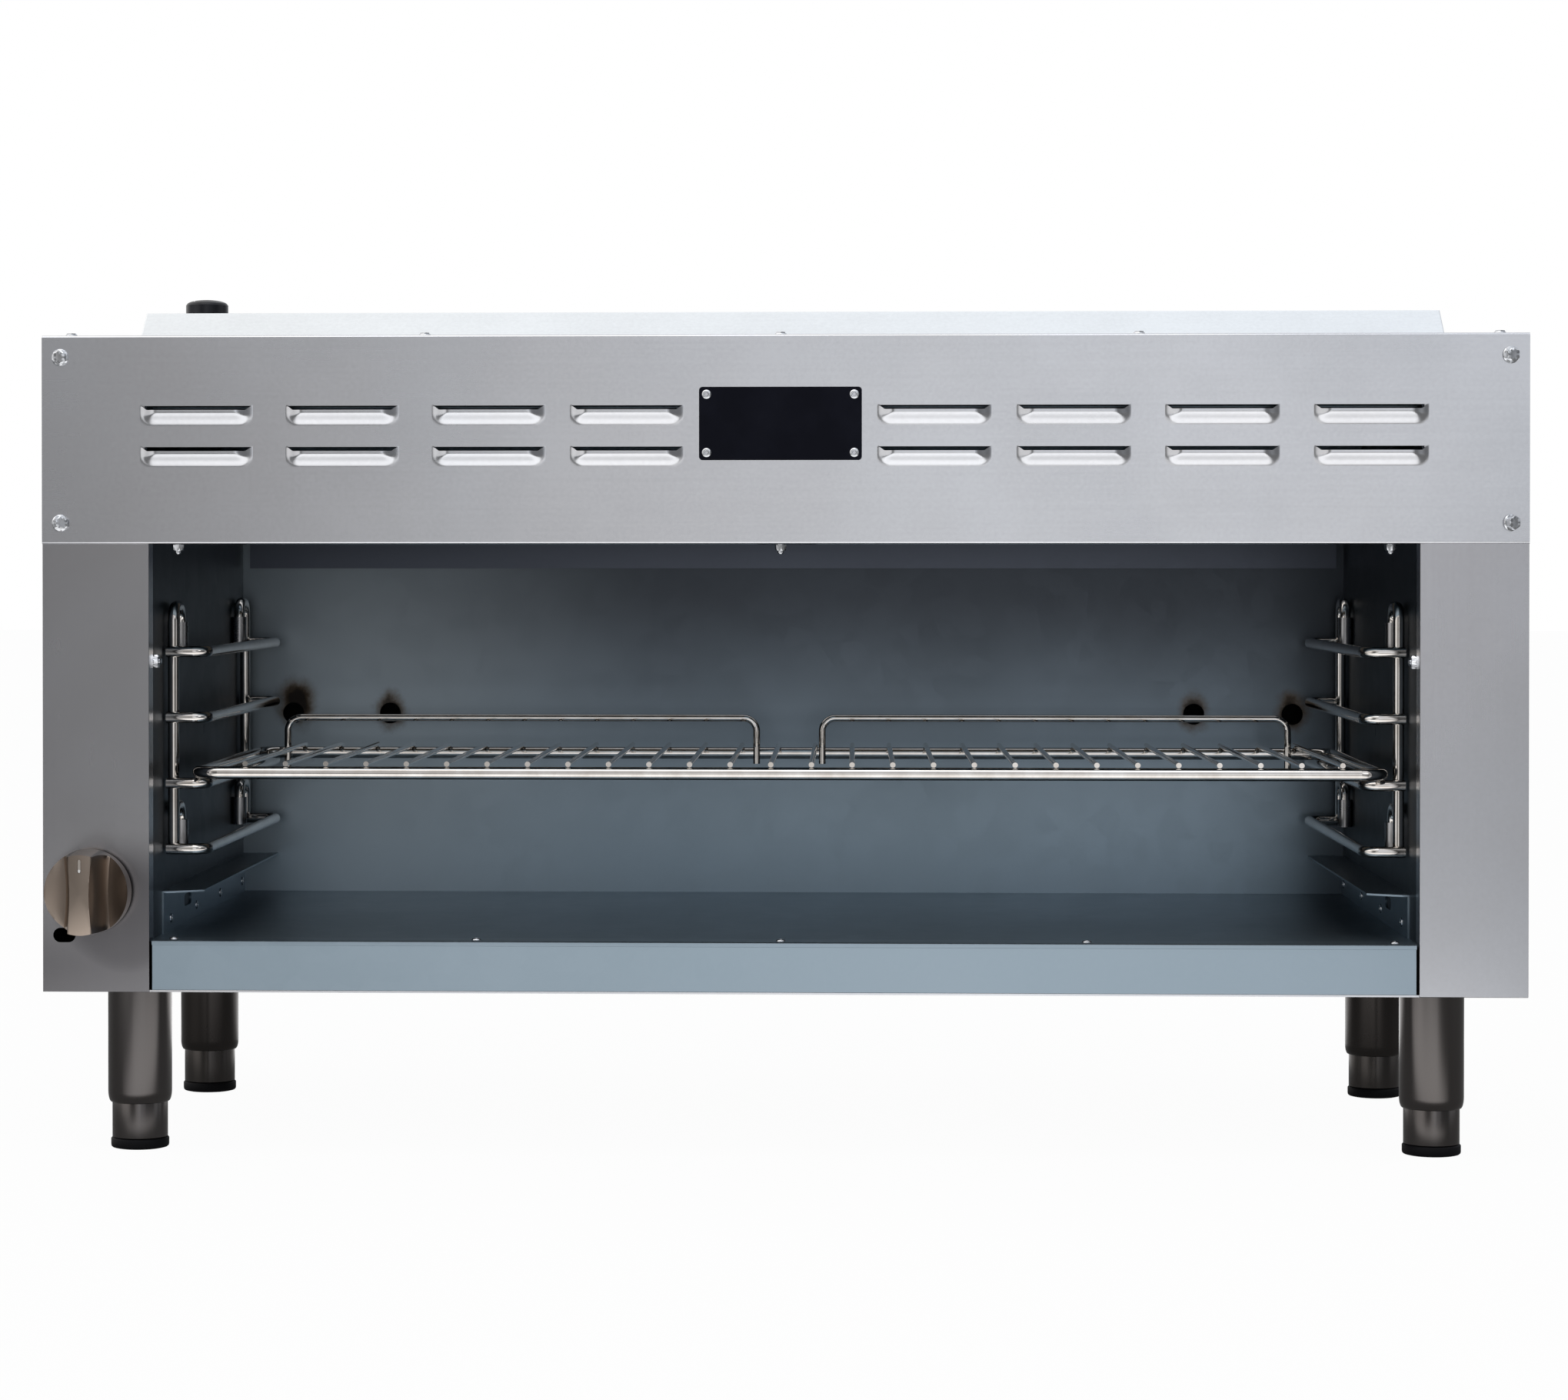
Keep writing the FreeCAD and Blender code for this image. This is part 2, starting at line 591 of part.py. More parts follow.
panel_holes = []
for side in ("-", ""):
    for i, (x, z) in enumerate(bolt_places(side)):
        panel_holes.append(rod("panel_hole_%s%d" % ("left" if side else "right", i), "boltShank",
                               "gauge + 2 * cutOver", x, "frontY - cutOver", z, "y"))
screw_xs = ["0"]
for sign in ("-", ""):
    screw_xs.append("%s(halfWidth - topScrewSide)" % sign)
    screw_xs.append("%s(halfWidth - topScrewSide) / 2" % sign)
for i, x in enumerate(screw_xs):
    panel_holes.append(rod("flange_hole_%d" % i, "tipRound", "2 * gauge + 2 * cutOver", x,
                           "frontY + topScrewInset", "topZ - 2 * gauge - cutOver"))
tip_xs = ["-(linerX - tipSide)", "0", "linerX - tipSide"]
for i, x in enumerate(tip_xs):
    panel_holes.append(rod("return_hole_%d" % i, "tipRound", "2 * gauge + 2 * cutOver", x,
                           "frontY + topScrewInset", "panelZ - cutOver"))
rivet_xs = ["-(plateLong / 2 - plateInset)", "plateLong / 2 - plateInset"]
rivet_zs = ["topZ - plateTopDrop - plateInset", "topZ - plateTopDrop - plateTall + plateInset"]
plate_rivets = [(x, z) for x in rivet_xs for z in rivet_zs]
for i, (x, z) in enumerate(plate_rivets):
    panel_holes.append(rod("panel_rivet_hole_%d" % i, "rivetShank", "gauge + 2 * cutOver", x,
                           "frontY - cutOver", z, "y"))
keep(cut("front_cut", fuse("front_hooded", [panel_sheet] + hoods), hollows + panel_holes + return_ends),
     "front_panel")


def rivet(name, x, y, z, axis, head_first):
    # Head and shank, the head standing on the face at x, y, z.
    along = {"x": x, "y": y, "z": z}
    head_at = dict(along)
    shank_at = dict(along)
    if head_first:
        head_at[axis] = along[axis] + " - rivetProud"
    else:
        shank_at[axis] = along[axis] + " - 2 * gauge"
    narrow = "rivetRound * headShare"
    ends = (narrow, "rivetRound") if head_first else ("rivetRound", narrow)
    head = cone(name + "_head", ends[0], ends[1], "rivetProud", head_at["x"], head_at["y"], head_at["z"],
                axis)
    shank = rod(name + "_shank", "rivetShank", "2 * gauge", shank_at["x"], shank_at["y"], shank_at["z"],
                axis)
    return fuse(name, [head, shank])


# Bare plate with its four rivets

plate = block("plate_block", "-plateLong / 2", "plateLong / 2", "frontY - plateThick", "frontY",
              "topZ - plateTopDrop - plateTall", "topZ - plateTopDrop")
plate_round = doc.addObject("Part::Fillet", "plate_round")
plate_round.Base = plate
doc.recompute()
upright_edges = [i + 1 for i, edge in enumerate(plate.Shape.Edges)
                 if abs(edge.tangentAt(edge.FirstParameter).y) == 1]
plate_round.Edges = [(i, size["plateCorner"], size["plateCorner"]) for i in upright_edges]
plate_holes = [rod("plate_hole_%d" % i, "rivetShank", "plateThick + 2 * cutOver", x,
                   "frontY - plateThick - cutOver", z, "y") for i, (x, z) in enumerate(plate_rivets)]
keep(cut("plate_cut", plate_round, plate_holes), "nameplate")
keep(group("plate_rivet_group", [rivet("plate_rivet_%d" % i, x, "frontY - plateThick", z, "y", True)
                                 for i, (x, z) in enumerate(plate_rivets)]), "nameplate_rivets")


def hex_bolt(name, x, z):
    flange = rod(name + "_flange", "boltFlangeRound", "boltFlangeThick", x, "frontY - boltFlangeThick",
                 z, "y")
    head = hexagon(name + "_head", "boltHeadRound", "boltHeadTall", x,
                   "frontY - boltFlangeThick - boltHeadTall", z, "y")
    shank = rod(name + "_shank", "boltShank", "boltLong", x, "frontY", z, "y")
    return fuse(name, [flange, head, shank])


keep(group("bolt_group", [hex_bolt("bolt_%s%d" % (side, i), x, z)
                          for side, sign in (("left", "-"), ("right", ""))
                          for i, (x, z) in enumerate(bolt_places(sign))]), "panel_bolts")

# Top cover, its screws and the flue riser over its opening

cover_sheet = block("cover_sheet", "-insideX", "insideX", "frontY + 2 * gauge", "rearY - gauge",
                    "coverZ - gauge", "coverZ")
flue_hole = block("flue_hole", "-(riserX - flueRim)", "riserX - flueRim",
                  "frontY + riserFrontFoot + flueRim + riserRun / 2", "frontY + riserRear - flueRim",
                  "coverZ - 2 * gauge", "topZ")
cover_holes = [rod("cover_hole_%d" % i, "tipRound", "gauge + 2 * cutOver", x, "frontY + topScrewInset",
                   "coverZ - gauge - cutOver") for i, x in enumerate(screw_xs)]
keep(cut("cover_cut", cover_sheet, [flue_hole] + cover_holes), "top_cover")


def pan_screw(name, x, y, z, axis, flip):
    # A domed head on the face at x, y, z, its shank through the sheets behind it.
    at = {"x": x, "y": y, "z": z}
    head_at = dict(at)
    shank_at = dict(at)
    if flip:
        head_at[axis] = at[axis] + " - screwHeadTall"
    else:
        shank_at[axis] = at[axis] + " - 4 * gauge"
    small = "screwHeadRound * headShare"
    ends = (small, "screwHeadRound") if flip else ("screwHeadRound", small)
    head = cone(name + "_head", ends[0], ends[1], "screwHeadTall", head_at["x"], head_at["y"], head_at["z"],
                axis)
    shank = rod(name + "_shank", "tipRound", "4 * gauge", shank_at["x"], shank_at["y"], shank_at["z"], axis)
    return fuse(name, [head, shank])


keep(group("top_screw_group", [pan_screw("top_screw_%d" % i, x, "frontY + topScrewInset", "topZ", "z", False)
                               for i, x in enumerate(screw_xs)]), "top_screws")


riser_outer = folded("riser_outer", "YZ_Plane", [
    ("frontY + riserFrontFoot", "coverZ"), ("frontY + riserRear", "coverZ"),
    ("frontY + riserRear", "coverZ + riserTall"),
    ("frontY + riserFrontFoot + riserRun", "coverZ + riserTall"),
], "-riserX", "2 * riserX")
riser_inner = folded("riser_inner", "YZ_Plane", [
    ("frontY + riserFrontFoot + 2 * gauge - riserRun * cutOver / riserTall", "coverZ - cutOver"),
    ("frontY + riserRear - gauge", "coverZ - cutOver"),
    ("frontY + riserRear - gauge", "coverZ + riserTall + cutOver"),
    ("frontY + riserFrontFoot + 2 * gauge + riserRun + riserRun * cutOver / riserTall",
     "coverZ + riserTall + cutOver"),
], "-(riserX - gauge)", "2 * (riserX - gauge)")
keep(cut("riser_cut", riser_outer, [riser_inner]), "flue_riser")

# Rear panel, base panel, front rail and floor

pipe_hole = rod("pipe_hole", "pipeRound + stemHoleGap", "2 * cutOver + gauge", "portX",
                "rearY - gauge - cutOver", "portZ", "y")
back_sheet = block("back_sheet", "-insideX", "insideX", "rearY - gauge", "rearY", "baseZ", "coverZ")
back_places = [(x, z) for x in ("-(halfWidth - backScrewSide)", "0", "halfWidth - backScrewSide")
               for z in ("baseZ + backScrewEdge", "coverZ - backScrewEdge")]
back_holes = [rod("back_hole_%d" % i, "tipRound", "gauge + 2 * cutOver", x, "rearY - gauge - cutOver", z,
                  "y")
              for i, (x, z) in enumerate(back_places)]
keep(cut("back_cut", back_sheet, [pipe_hole] + back_holes), "back_panel")


def rear_screw(name, x, z):
    head = cone(name + "_head", "screwHeadRound", "screwHeadRound * headShare", "screwHeadTall", x,
                "rearY", z, "y")
    shank = rod(name + "_shank", "tipRound", "4 * gauge", x, "rearY - 4 * gauge", z, "y")
    return fuse(name, [head, shank])


keep(group("back_screw_group", [rear_screw("back_screw_%d" % i, x, z)
                                for i, (x, z) in enumerate(back_places)]), "back_screws")
base_sheet = block("base_sheet", "-(insideX - sideFoot)", "insideX - sideFoot", "frontY + 2 * gauge",
                   "rearY - gauge", "baseZ", "baseZ + gauge")
base_notches = [block("base_notch_%d" % i, x0, x1, "frontY + gauge", "frontY + gauge + stileReturn",
                      "baseZ - cutOver", "baseZ + gauge + cutOver")
                for i, (x0, x1) in enumerate([("-linerX", "-stileX"), ("stileX", "linerX")])]
keep(cut("base_cut", base_sheet, base_notches), "base_panel")
rail_profile = [
    ("frontY + gauge", "baseZ + railLift"), ("frontY + 2 * gauge", "baseZ + railLift"),
    ("frontY + 2 * gauge", "floorZ - gauge"), ("frontY + railLip", "floorZ - gauge"),
    ("frontY + railLip", "floorZ"), ("frontY + gauge - railHem", "floorZ"),
    ("frontY + gauge - railHem", "floorZ - railHemTall"), ("frontY + gauge", "floorZ - railHemTall"),
]
rail_sheet = folded("rail_sheet", "YZ_Plane", rail_profile, "-(stileX - railGap)", "2 * (stileX - railGap)")
floor_xs = ["0"]
for sign in ("-", ""):
    floor_xs.append("%s(linerX - floorRivetSide)" % sign)
    floor_xs.append("%s(linerX - floorRivetSide) / 2" % sign)


def floor_holes(name):
    return [rod("%s_%d" % (name, i), "rivetShank", "3 * gauge + cutOver", x, "frontY + floorRivetInset",
                "floorZ - 3 * gauge") for i, x in enumerate(floor_xs)]


keep(cut("rail_cut", rail_sheet, floor_holes("rail_hole")), "front_rail")
floor_sheet = block("floor_sheet", "-linerX", "linerX", "frontY + 2 * gauge + stileReturn", "linerY",
                    "floorZ - 2 * gauge", "floorZ - gauge")
floor_tongue = block("floor_tongue", "-(stileX - railGap)", "stileX - railGap", "frontY + 2 * gauge",
                     "frontY + 3 * gauge + stileReturn", "floorZ - 2 * gauge", "floorZ - gauge")
keep(cut("floor_cut", fuse("floor_fuse", [floor_sheet, floor_tongue]), floor_holes("floor_hole")),
     "floor_plate")
keep(group("floor_rivet_group", [rivet("floor_rivet_%d" % i, x, "frontY + floorRivetInset", "floorZ", "z",
                                       False) for i, x in enumerate(floor_xs)]), "floor_rivets")

# Liners of the cavity

bracket_rivet_ys = ["frontY + bracketRivetFirst + %d * bracketRivetPitch" % i
                    for i in range(int(size["bracketRivets"]))]


def side_liner(name):
    sheet_box = block(name + "_sheet", "-(linerX + gauge)", "-linerX", "frontY + 2 * gauge", "linerY",
                      "baseZ + gauge", "coverZ - gauge")
    slit = block(name + "_slit", "-(linerX + gauge + cutOver)", "-(linerX - cutOver)",
                 "frontY + slitInset - slitWide / 2", "frontY + slitInset + slitWide / 2",
                 "floorZ + slitRise - slitTall / 2", "floorZ + slitRise + slitTall / 2")
    stud = rod(name + "_stud_hole", "nutStud", "gauge + 2 * cutOver", "-(linerX + gauge + cutOver)",
               "frontY + nutInset", "floorZ + nutRise", "x")
    rivets = [rod("%s_rivet_hole_%d" % (name, i), "rivetShank", "gauge + 2 * cutOver",
                  "-(linerX + gauge + cutOver)", y, "floorZ + bracketRivetRise", "x")
              for i, y in enumerate(bracket_rivet_ys)]
    return sheet_box, [slit, stud] + rivets


left_sheet, left_cuts = side_liner("left_liner")
manifold_hole = rod("manifold_hole", "pipeRound + stemHoleGap", "gauge + 2 * cutOver",
                    "-(linerX + gauge + cutOver)", "manifoldY", "venturiZ", "x")
keep(cut("left_liner_cut", left_sheet, left_cuts + [manifold_hole]), "left_liner")
right_sheet, right_cuts = side_liner("right_liner")
keep(mirror("right_liner_mirror", cut("right_liner_cut", right_sheet, right_cuts)), "right_liner")
rear_sheet = block("rear_liner_sheet", "-(linerX + gauge)", "linerX + gauge", "linerY", "linerY + gauge",
                   "floorZ - 2 * gauge", "coverZ - gauge")
round_holes = [rod("round_hole_%d" % i, "holeRound", "gauge + 2 * cutOver", x, "linerY - cutOver",
                   "floorZ + holeRise", "y")
               for i, x in enumerate(["-holeOuter", "-holeInner", "holeInner", "holeOuter"])]
keep(cut("rear_liner_cut", rear_sheet, round_holes), "back_liner")

# Ceiling with its burner openings, header lip behind the flue gap, heat shield and ceiling screws

ceiling_sheet = block("ceiling_sheet", "-linerX", "linerX", "frontY + 2 * gauge",
                      "frontY + shieldRear + gauge + flueRim", "ceilingZ", "ceilingTopZ")
burner_holes = [block("burner_hole_%d" % i, "%sburnerMiddle - burnerLong / 2 + burnerRim" % sign,
                      "%sburnerMiddle + burnerLong / 2 - burnerRim" % sign, "burnerFrontY + burnerRim",
                      "burnerFrontY + burnerDeep - burnerRim", "ceilingZ - cutOver", "ceilingTopZ + cutOver")
                for i, sign in enumerate(["-", ""])]
ceiling_holes = [rod("ceiling_hole_%d" % i, "tipRound", "gauge + 2 * cutOver", x,
                     "frontY + topScrewInset", "ceilingZ - cutOver") for i, x in enumerate(tip_xs)]
pilot_hole = rod("pilot_hole", "pilotRound - gauge", "gauge + 2 * cutOver", "0", "frontY + pilotInset",
                 "ceilingZ - cutOver")
keep(cut("ceiling_cut", ceiling_sheet, burner_holes + [pilot_hole] + ceiling_holes), "ceiling_plate")
lip_profile = [
    ("linerY - lipInset - gauge", "ceilingZ - lipTall"), ("linerY - lipInset", "ceilingZ - lipTall"),
    ("linerY - lipInset", "ceilingZ"), ("linerY", "ceilingZ"), ("linerY", "ceilingTopZ"),
    ("linerY - lipInset - gauge", "ceilingTopZ"),
]
keep(folded("lip_sheet", "YZ_Plane", lip_profile, "-(linerX - lipEndGap)", "2 * (linerX - lipEndGap)"),
     "header_lip")
shield_profile = [
    ("frontY + shieldFront", "ceilingTopZ + shieldRise"),
    ("frontY + shieldRear - gauge", "ceilingTopZ + shieldRise"),
    ("frontY + shieldRear - gauge", "ceilingTopZ"), ("frontY + shieldRear", "ceilingTopZ"),
    ("frontY + shieldRear", "ceilingTopZ + shieldRise + gauge"),
    ("frontY + shieldFront", "ceilingTopZ + shieldRise + gauge"),
]
keep(folded("shield_sheet", "YZ_Plane", shield_profile, "-linerX", "2 * linerX"), "heat_shield")


def ceiling_screw(name, x):
    shank = rod(name + "_shank", "tipRound", "tipProud + 2 * gauge", x, "frontY + topScrewInset",
                "panelZ - tipProud")
    head = hexagon(name + "_head", "boltHeadRound", "tipHeadTall", x, "frontY + topScrewInset",
                   "ceilingTopZ")
    return fuse(name, [shank, head])


keep(group("ceiling_screw_group", [ceiling_screw("ceiling_screw_%d" % i, x)
                                   for i, x in enumerate(tip_xs)]), "ceiling_screws")

# Two infrared burners: housing, ceramic tile, screen and mixing tube

def burner_housing(name):
    inner_x0 = "-burnerMiddle - burnerLong / 2 + burnerRim"
    inner_x1 = "-burnerMiddle + burnerLong / 2 - burnerRim"
    outer = block(name + "_outer", inner_x0 + " - gauge", inner_x1 + " + gauge",
                  "burnerFrontY + burnerRim - gauge", "burnerFrontY + burnerDeep - burnerRim + gauge",
                  "ceilingTopZ", "ceilingTopZ + burnerTall")
    rim = block(name + "_rim", "-burnerMiddle - burnerLong / 2", "-burnerMiddle + burnerLong / 2",
                "burnerFrontY", "burnerFrontY + burnerDeep", "ceilingTopZ", "ceilingTopZ + gauge")
    inner = block(name + "_inner", inner_x0, inner_x1, "burnerFrontY + burnerRim",
                  "burnerFrontY + burnerDeep - burnerRim", "ceilingTopZ - cutOver",
                  "ceilingTopZ + burnerTall - gauge")
    mouth = rod(name + "_mouth", "venturiRound - venturiWall", "2 * cutOver + gauge", "-burnerMiddle",
                "burnerFrontY + burnerRim - gauge - cutOver", "venturiZ", "y")
    return cut(name, fuse(name + "_shell", [outer, rim]), [inner, mouth])


def burner_tile(name):
    return block(name, "-burnerMiddle - burnerLong / 2 + burnerRim + tileGap",
                 "-burnerMiddle + burnerLong / 2 - burnerRim - tileGap",
                 "burnerFrontY + burnerRim + tileGap",
                 "burnerFrontY + burnerDeep - burnerRim - tileGap", "ceilingTopZ + 3 * screenRod",
                 "ceilingTopZ + 3 * screenRod + tileThick")


def burner_screen(name):
    x_start = -size["burnerMiddle"] - size["burnerLong"] / 2 + size["burnerRim"]
    x_end = x_start + size["burnerLong"] - 2 * size["burnerRim"]
    y_start = size["burnerFrontY"] + size["burnerRim"]
    y_end = y_start + size["burnerDeep"] - 2 * size["burnerRim"]
    radius = size["screenRod"]
    z = size["ceilingTopZ"] + radius
    count = int(size["screenRods"])
    rods = []
    for i in range(count):
        x = x_start + (x_end - x_start) * (i + 0.5) / count
        rods.append(straight(Vector(x, y_start, z), Vector(x, y_end, z), radius))
    for share in (0.25, 0.75):
        y = y_start + (y_end - y_start) * share
        rods.append(straight(Vector(x_start, y, z + radius), Vector(x_end, y, z + radius), radius))
    return free_form(name, rods[0].multiFuse(rods[1:]))


def mixing_tube(name):
    section = [("venturiRound - venturiWall", "0"), ("venturiRound", "0"),
               ("venturiRound", "-venturiLong * neckShare"), ("venturiMouth", "-venturiLong"),
               ("venturiMouth - venturiWall", "-venturiLong"),
               ("venturiRound - venturiWall", "-venturiLong * neckShare")]
    return turned(name, section, "-burnerMiddle", "burnerFrontY + burnerRim - gauge", "venturiZ", "y")


for side in ("left", "right"):
    pieces = [(burner_housing(side + "_housing_shape"), side + "_burner_housing"),
              (burner_tile(side + "_tile_shape"), side + "_burner_tile")]
    for piece, label in pieces:
        keep(piece if side == "left" else mirror(label + "_mirror", piece), label)
left_screen = burner_screen("left_screen")
keep(group("screen_group", [left_screen, mirror("right_screen", left_screen)]), "burner_screens")
left_tube = mixing_tube("left_tube")
keep(group("tube_group", [left_tube, mirror("right_tube", left_tube)]), "burner_venturis")

# Gas train: regulator, supply pipe, valve, manifold with its orifices, and pilot

regulator_section = [("0", "0"), ("regulatorRound * blockShare", "0"),
                     ("regulatorRound * blockShare", "regulatorBlock"),
                     ("regulatorRound", "regulatorBlock + regulatorTall * caseLowShare"),
                     ("regulatorRound", "regulatorBlock + regulatorTall * caseHighShare"),
                     ("regulatorRound * towerShare", "regulatorBlock + regulatorTall * caseNeckShare"),
                     ("regulatorRound * towerShare", "regulatorBlock + regulatorTall"),
                     ("0", "regulatorBlock + regulatorTall")]
regulator_foot = "portZ - portBoss"
regulator_case = turned("regulator_case", regulator_section, "portX", "regulatorY", regulator_foot)
outlet_boss = rod("outlet_boss", "portBoss", "regulatorAway", "portX", "rearY", "portZ", "y")
inlet_boss = rod("inlet_boss", "portBoss", "regulatorReach - regulatorAway", "portX", "regulatorY", "portZ",
                 "y")
inlet_bore = rod("inlet_bore", "inletBore", "inletDeep + cutOver", "portX",
                 "rearY + regulatorReach - inletDeep",
                 "portZ", "y")
outlet_bore = rod("outlet_bore", "pipeRound", "regulatorAway / 2 + cutOver", "portX", "rearY - cutOver",
                  "portZ", "y")
keep(cut("regulator_cut", fuse("regulator_fuse", [regulator_case, outlet_boss, inlet_boss]),
         [inlet_bore, outlet_bore]), "regulator")
cap_section = [("0", "0"), ("capRound", "0"), ("capRound", "capTall - capDome"),
               ("capRound * capShoulderShare", "capTall - capDome * capDropShare"),
               ("capRound * capTopShare", "capTall"),
               ("0", "capTall")]
keep(turned("cap_turned", cap_section, "portX", "regulatorY",
            regulator_foot + " + regulatorBlock + regulatorTall"), "regulator_cap")

valve_y = size["frontY"] + size["valveInset"]
valve_rear = valve_y + size["valveLong"]
supply_back = size["rearY"] - size["supplyInset"]
supply_points = [Vector(size["portX"], size["rearY"] + size["regulatorAway"] / 2, size["portZ"]),
                 Vector(size["portX"], supply_back, size["portZ"]),
                 Vector(size["knobX"], supply_back, size["knobZ"]),
                 Vector(size["knobX"], valve_rear, size["knobZ"])]
keep(free_form("supply", bent_pipe(supply_points, size["pipeRound"], size["pipeWall"], size["pipeBend"])),
     "supply_pipe")

valve_body = rod("valve_body", "valveRound", "valveLong", "knobX", "frontY + valveInset", "knobZ", "y")
valve_collar = hexagon("valve_collar", "valveNut", "valveNutThick", "knobX",
                       "frontY + valveInset + valveLong - valveNutThick", "knobZ", "y")
valve_seat = rod("valve_seat", "valveRound * seatShare", "valveInset - 2 * gauge", "knobX",
                 "frontY + 2 * gauge",
                 "knobZ", "y")
valve_tee = rod("valve_tee", "pipeRound + pipeWall", "valveRound * teeShare", "knobX", "manifoldY", "knobZ")
stem_bore = rod("stem_bore", "stemRound + stemGap", "valveInset + valveLong / 2", "knobX", "frontY", "knobZ",
                "y")
tee_bore = rod("tee_bore", "pipeRound - pipeWall", "valveRound * teeShare + cutOver", "knobX",
               "manifoldY", "knobZ")
valve_inlet = rod("valve_inlet", "pipeRound - pipeWall", "valveLong * inletShare", "knobX",
                  "frontY + valveInset + valveLong * (1 - inletShare)", "knobZ", "y")
keep(cut("valve_cut", fuse("valve_fuse", [valve_body, valve_collar, valve_seat, valve_tee]),
         [stem_bore, tee_bore, valve_inlet]), "gas_valve")
keep(rod("stem_rod", "stemRound", "knobSocketDeep + knobGap + valveInset", "knobX",
         "frontY - knobGap - knobSocketDeep", "knobZ", "y"), "valve_stem")

manifold_start = size["knobZ"] + size["valveRound"] * size["teeShare"]
manifold_points = [Vector(size["knobX"], size["manifoldY"], manifold_start),
                   Vector(size["knobX"], size["manifoldY"], size["venturiZ"]),
                   Vector(size["burnerMiddle"] + size["manifoldPast"], size["manifoldY"], size["venturiZ"])]
manifold_pipe = free_form("manifold_run", bent_pipe(manifold_points, size["pipeRound"], size["pipeWall"],
                                                    size["pipeBend"]))
orifices = [rod("orifice_%d" % i, "orificeRound", "orificeLong", sign + "burnerMiddle",
                "manifoldY + pipeRound - pipeWall / 2", "venturiZ", "y") for i, sign in enumerate(["-", ""])]
manifold_plug = rod("manifold_plug", "pipeRound + pipeWall", "pipeRound", "burnerMiddle + manifoldPast",
                    "manifoldY", "venturiZ", "x")
keep(fuse("manifold_fuse", [manifold_pipe, manifold_plug] + orifices), "gas_manifold")
pilot_hood = rod("pilot_hood", "pilotRound", "pilotTall", "0", "frontY + pilotInset", "ceilingTopZ")
pilot_top = Vector(0, size["frontY"] + size["pilotInset"], size["ceilingTopZ"] + size["pilotTall"])
pilot_rise = size["venturiZ"] + 3 * size["pipeRound"]
pilot_points = [pilot_top, Vector(0, pilot_top.y, pilot_rise), Vector(0, size["manifoldY"], pilot_rise),
                Vector(0, size["manifoldY"], size["venturiZ"] + size["pipeRound"])]
pilot_run = free_form("pilot_run", bent_rod(pilot_points, size["pilotPipe"], size["pipeRound"]))
keep(fuse("pilot_fuse", [pilot_hood, pilot_run]), "pilot_burner")

# Control knob: round skirt, dished face and a waisted grip bar

skirt = cone("skirt", "knobRound - knobTaper", "knobRound", "knobSkirt", "knobX",
             "frontY - knobGap - knobSkirt", "knobZ", "y")
dish = cone("dish", "knobRound - 2 * knobTaper", "knobRound * dishShare", "knobDish", "knobX",
            "frontY - knobGap - knobSkirt", "knobZ", "y")
grip_bar = block("grip_bar", "knobX - knobGripWide / 2", "knobX + knobGripWide / 2", "frontY - knobReach",
                 "frontY - knobGap - knobSkirt / 2", "knobZ - knobGripLong / 2", "knobZ + knobGripLong / 2")
grip_round = rod("grip_round", "knobGripLong / 2", "knobReach", "knobX", "frontY - knobReach", "knobZ", "y")
grip_trim = doc.addObject("Part::MultiCommon", "grip_trim")
grip_trim.Shapes = [grip_bar, grip_round]
waist_deep = "((knobGripWide - knobGripWaist) / 2)"
waist_round = "((knobGripLong * knobGripLong / 4 + %s * %s) / (2 * %s))" % (waist_deep, waist_deep,
                                                                            waist_deep)
waists = [rod("waist_%d" % i, waist_round, "knobReach", "knobX %s (knobGripWaist / 2 + %s)" % (sign,
              waist_round), "frontY - knobReach - cutOver", "knobZ", "y") for i, sign in enumerate("+-")]
waisted = cut("waisted", grip_trim, waists)
pointer = block("pointer", "knobX - pointerWide / 2", "knobX + pointerWide / 2",
                "frontY - knobReach - cutOver",
                "frontY - knobReach + pointerDeep",
                "knobZ + knobGripLong / 2 - pointerLong - pointerWide / 2",
                "knobZ + knobGripLong / 2 - pointerWide / 2")
knob_bore = rod("knob_bore", "stemRound", "knobSocketDeep + cutOver", "knobX",
                "frontY - knobGap - knobSocketDeep", "knobZ", "y")
keep(cut("knob_cut", fuse("knob_fuse", [cut("dished", skirt, [dish]), waisted]), [pointer, knob_bore]),
     "control_knob")

# Floor brackets with their rivets

def floor_bracket(name):
    wall = block(name + "_wall", "-linerX", "-linerX + gauge", "frontY + bracketFront", "linerY",
                 "floorZ - gauge",
                 "floorZ + bracketTall")
    flange = block(name + "_flange", "-linerX", "-linerX + bracketWide", "frontY + bracketFront", "linerY",
                   "floorZ + bracketTall - gauge", "floorZ + bracketTall")
    corner = [("-linerX + gauge", "frontY + bracketFront - cutOver"),
              ("-linerX + bracketWide + cutOver", "frontY + bracketFront - cutOver"),
              ("-linerX + bracketWide + cutOver", "frontY + bracketFront + bracketChamfer"),
              ("-linerX + bracketWide", "frontY + bracketFront + bracketChamfer")]
    chamfer = folded(name + "_chamfer", "XY_Plane", corner, "floorZ + bracketTall - gauge - shallowCut",
                     "gauge + cutOver")
    mid_z = "floorZ + slotRise"
    slot = block(name + "_slot", "-linerX - cutOver", "-linerX + gauge + cutOver",
                 "frontY + slotFirst + slotTall / 2", "frontY + slotFirst + slotLong - slotTall / 2",
                 mid_z + " - slotTall / 2", mid_z + " + slotTall / 2")
    ends = [rod("%s_slot_end_%d" % (name, i), "slotTall / 2", "gauge + 2 * cutOver", "-linerX - cutOver", y,
                mid_z, "x") for i, y in enumerate(["frontY + slotFirst + slotTall / 2",
                                                   "frontY + slotFirst + slotLong - slotTall / 2"])]
    holes = [rod("%s_hole_%d" % (name, i), "rivetShank", "gauge + 2 * cutOver", "-linerX - cutOver", y,
                 "floorZ + bracketRivetRise", "x") for i, y in enumerate(bracket_rivet_ys)]
    return cut(name, fuse(name + "_fold", [wall, flange]), [chamfer, slot] + ends + holes)


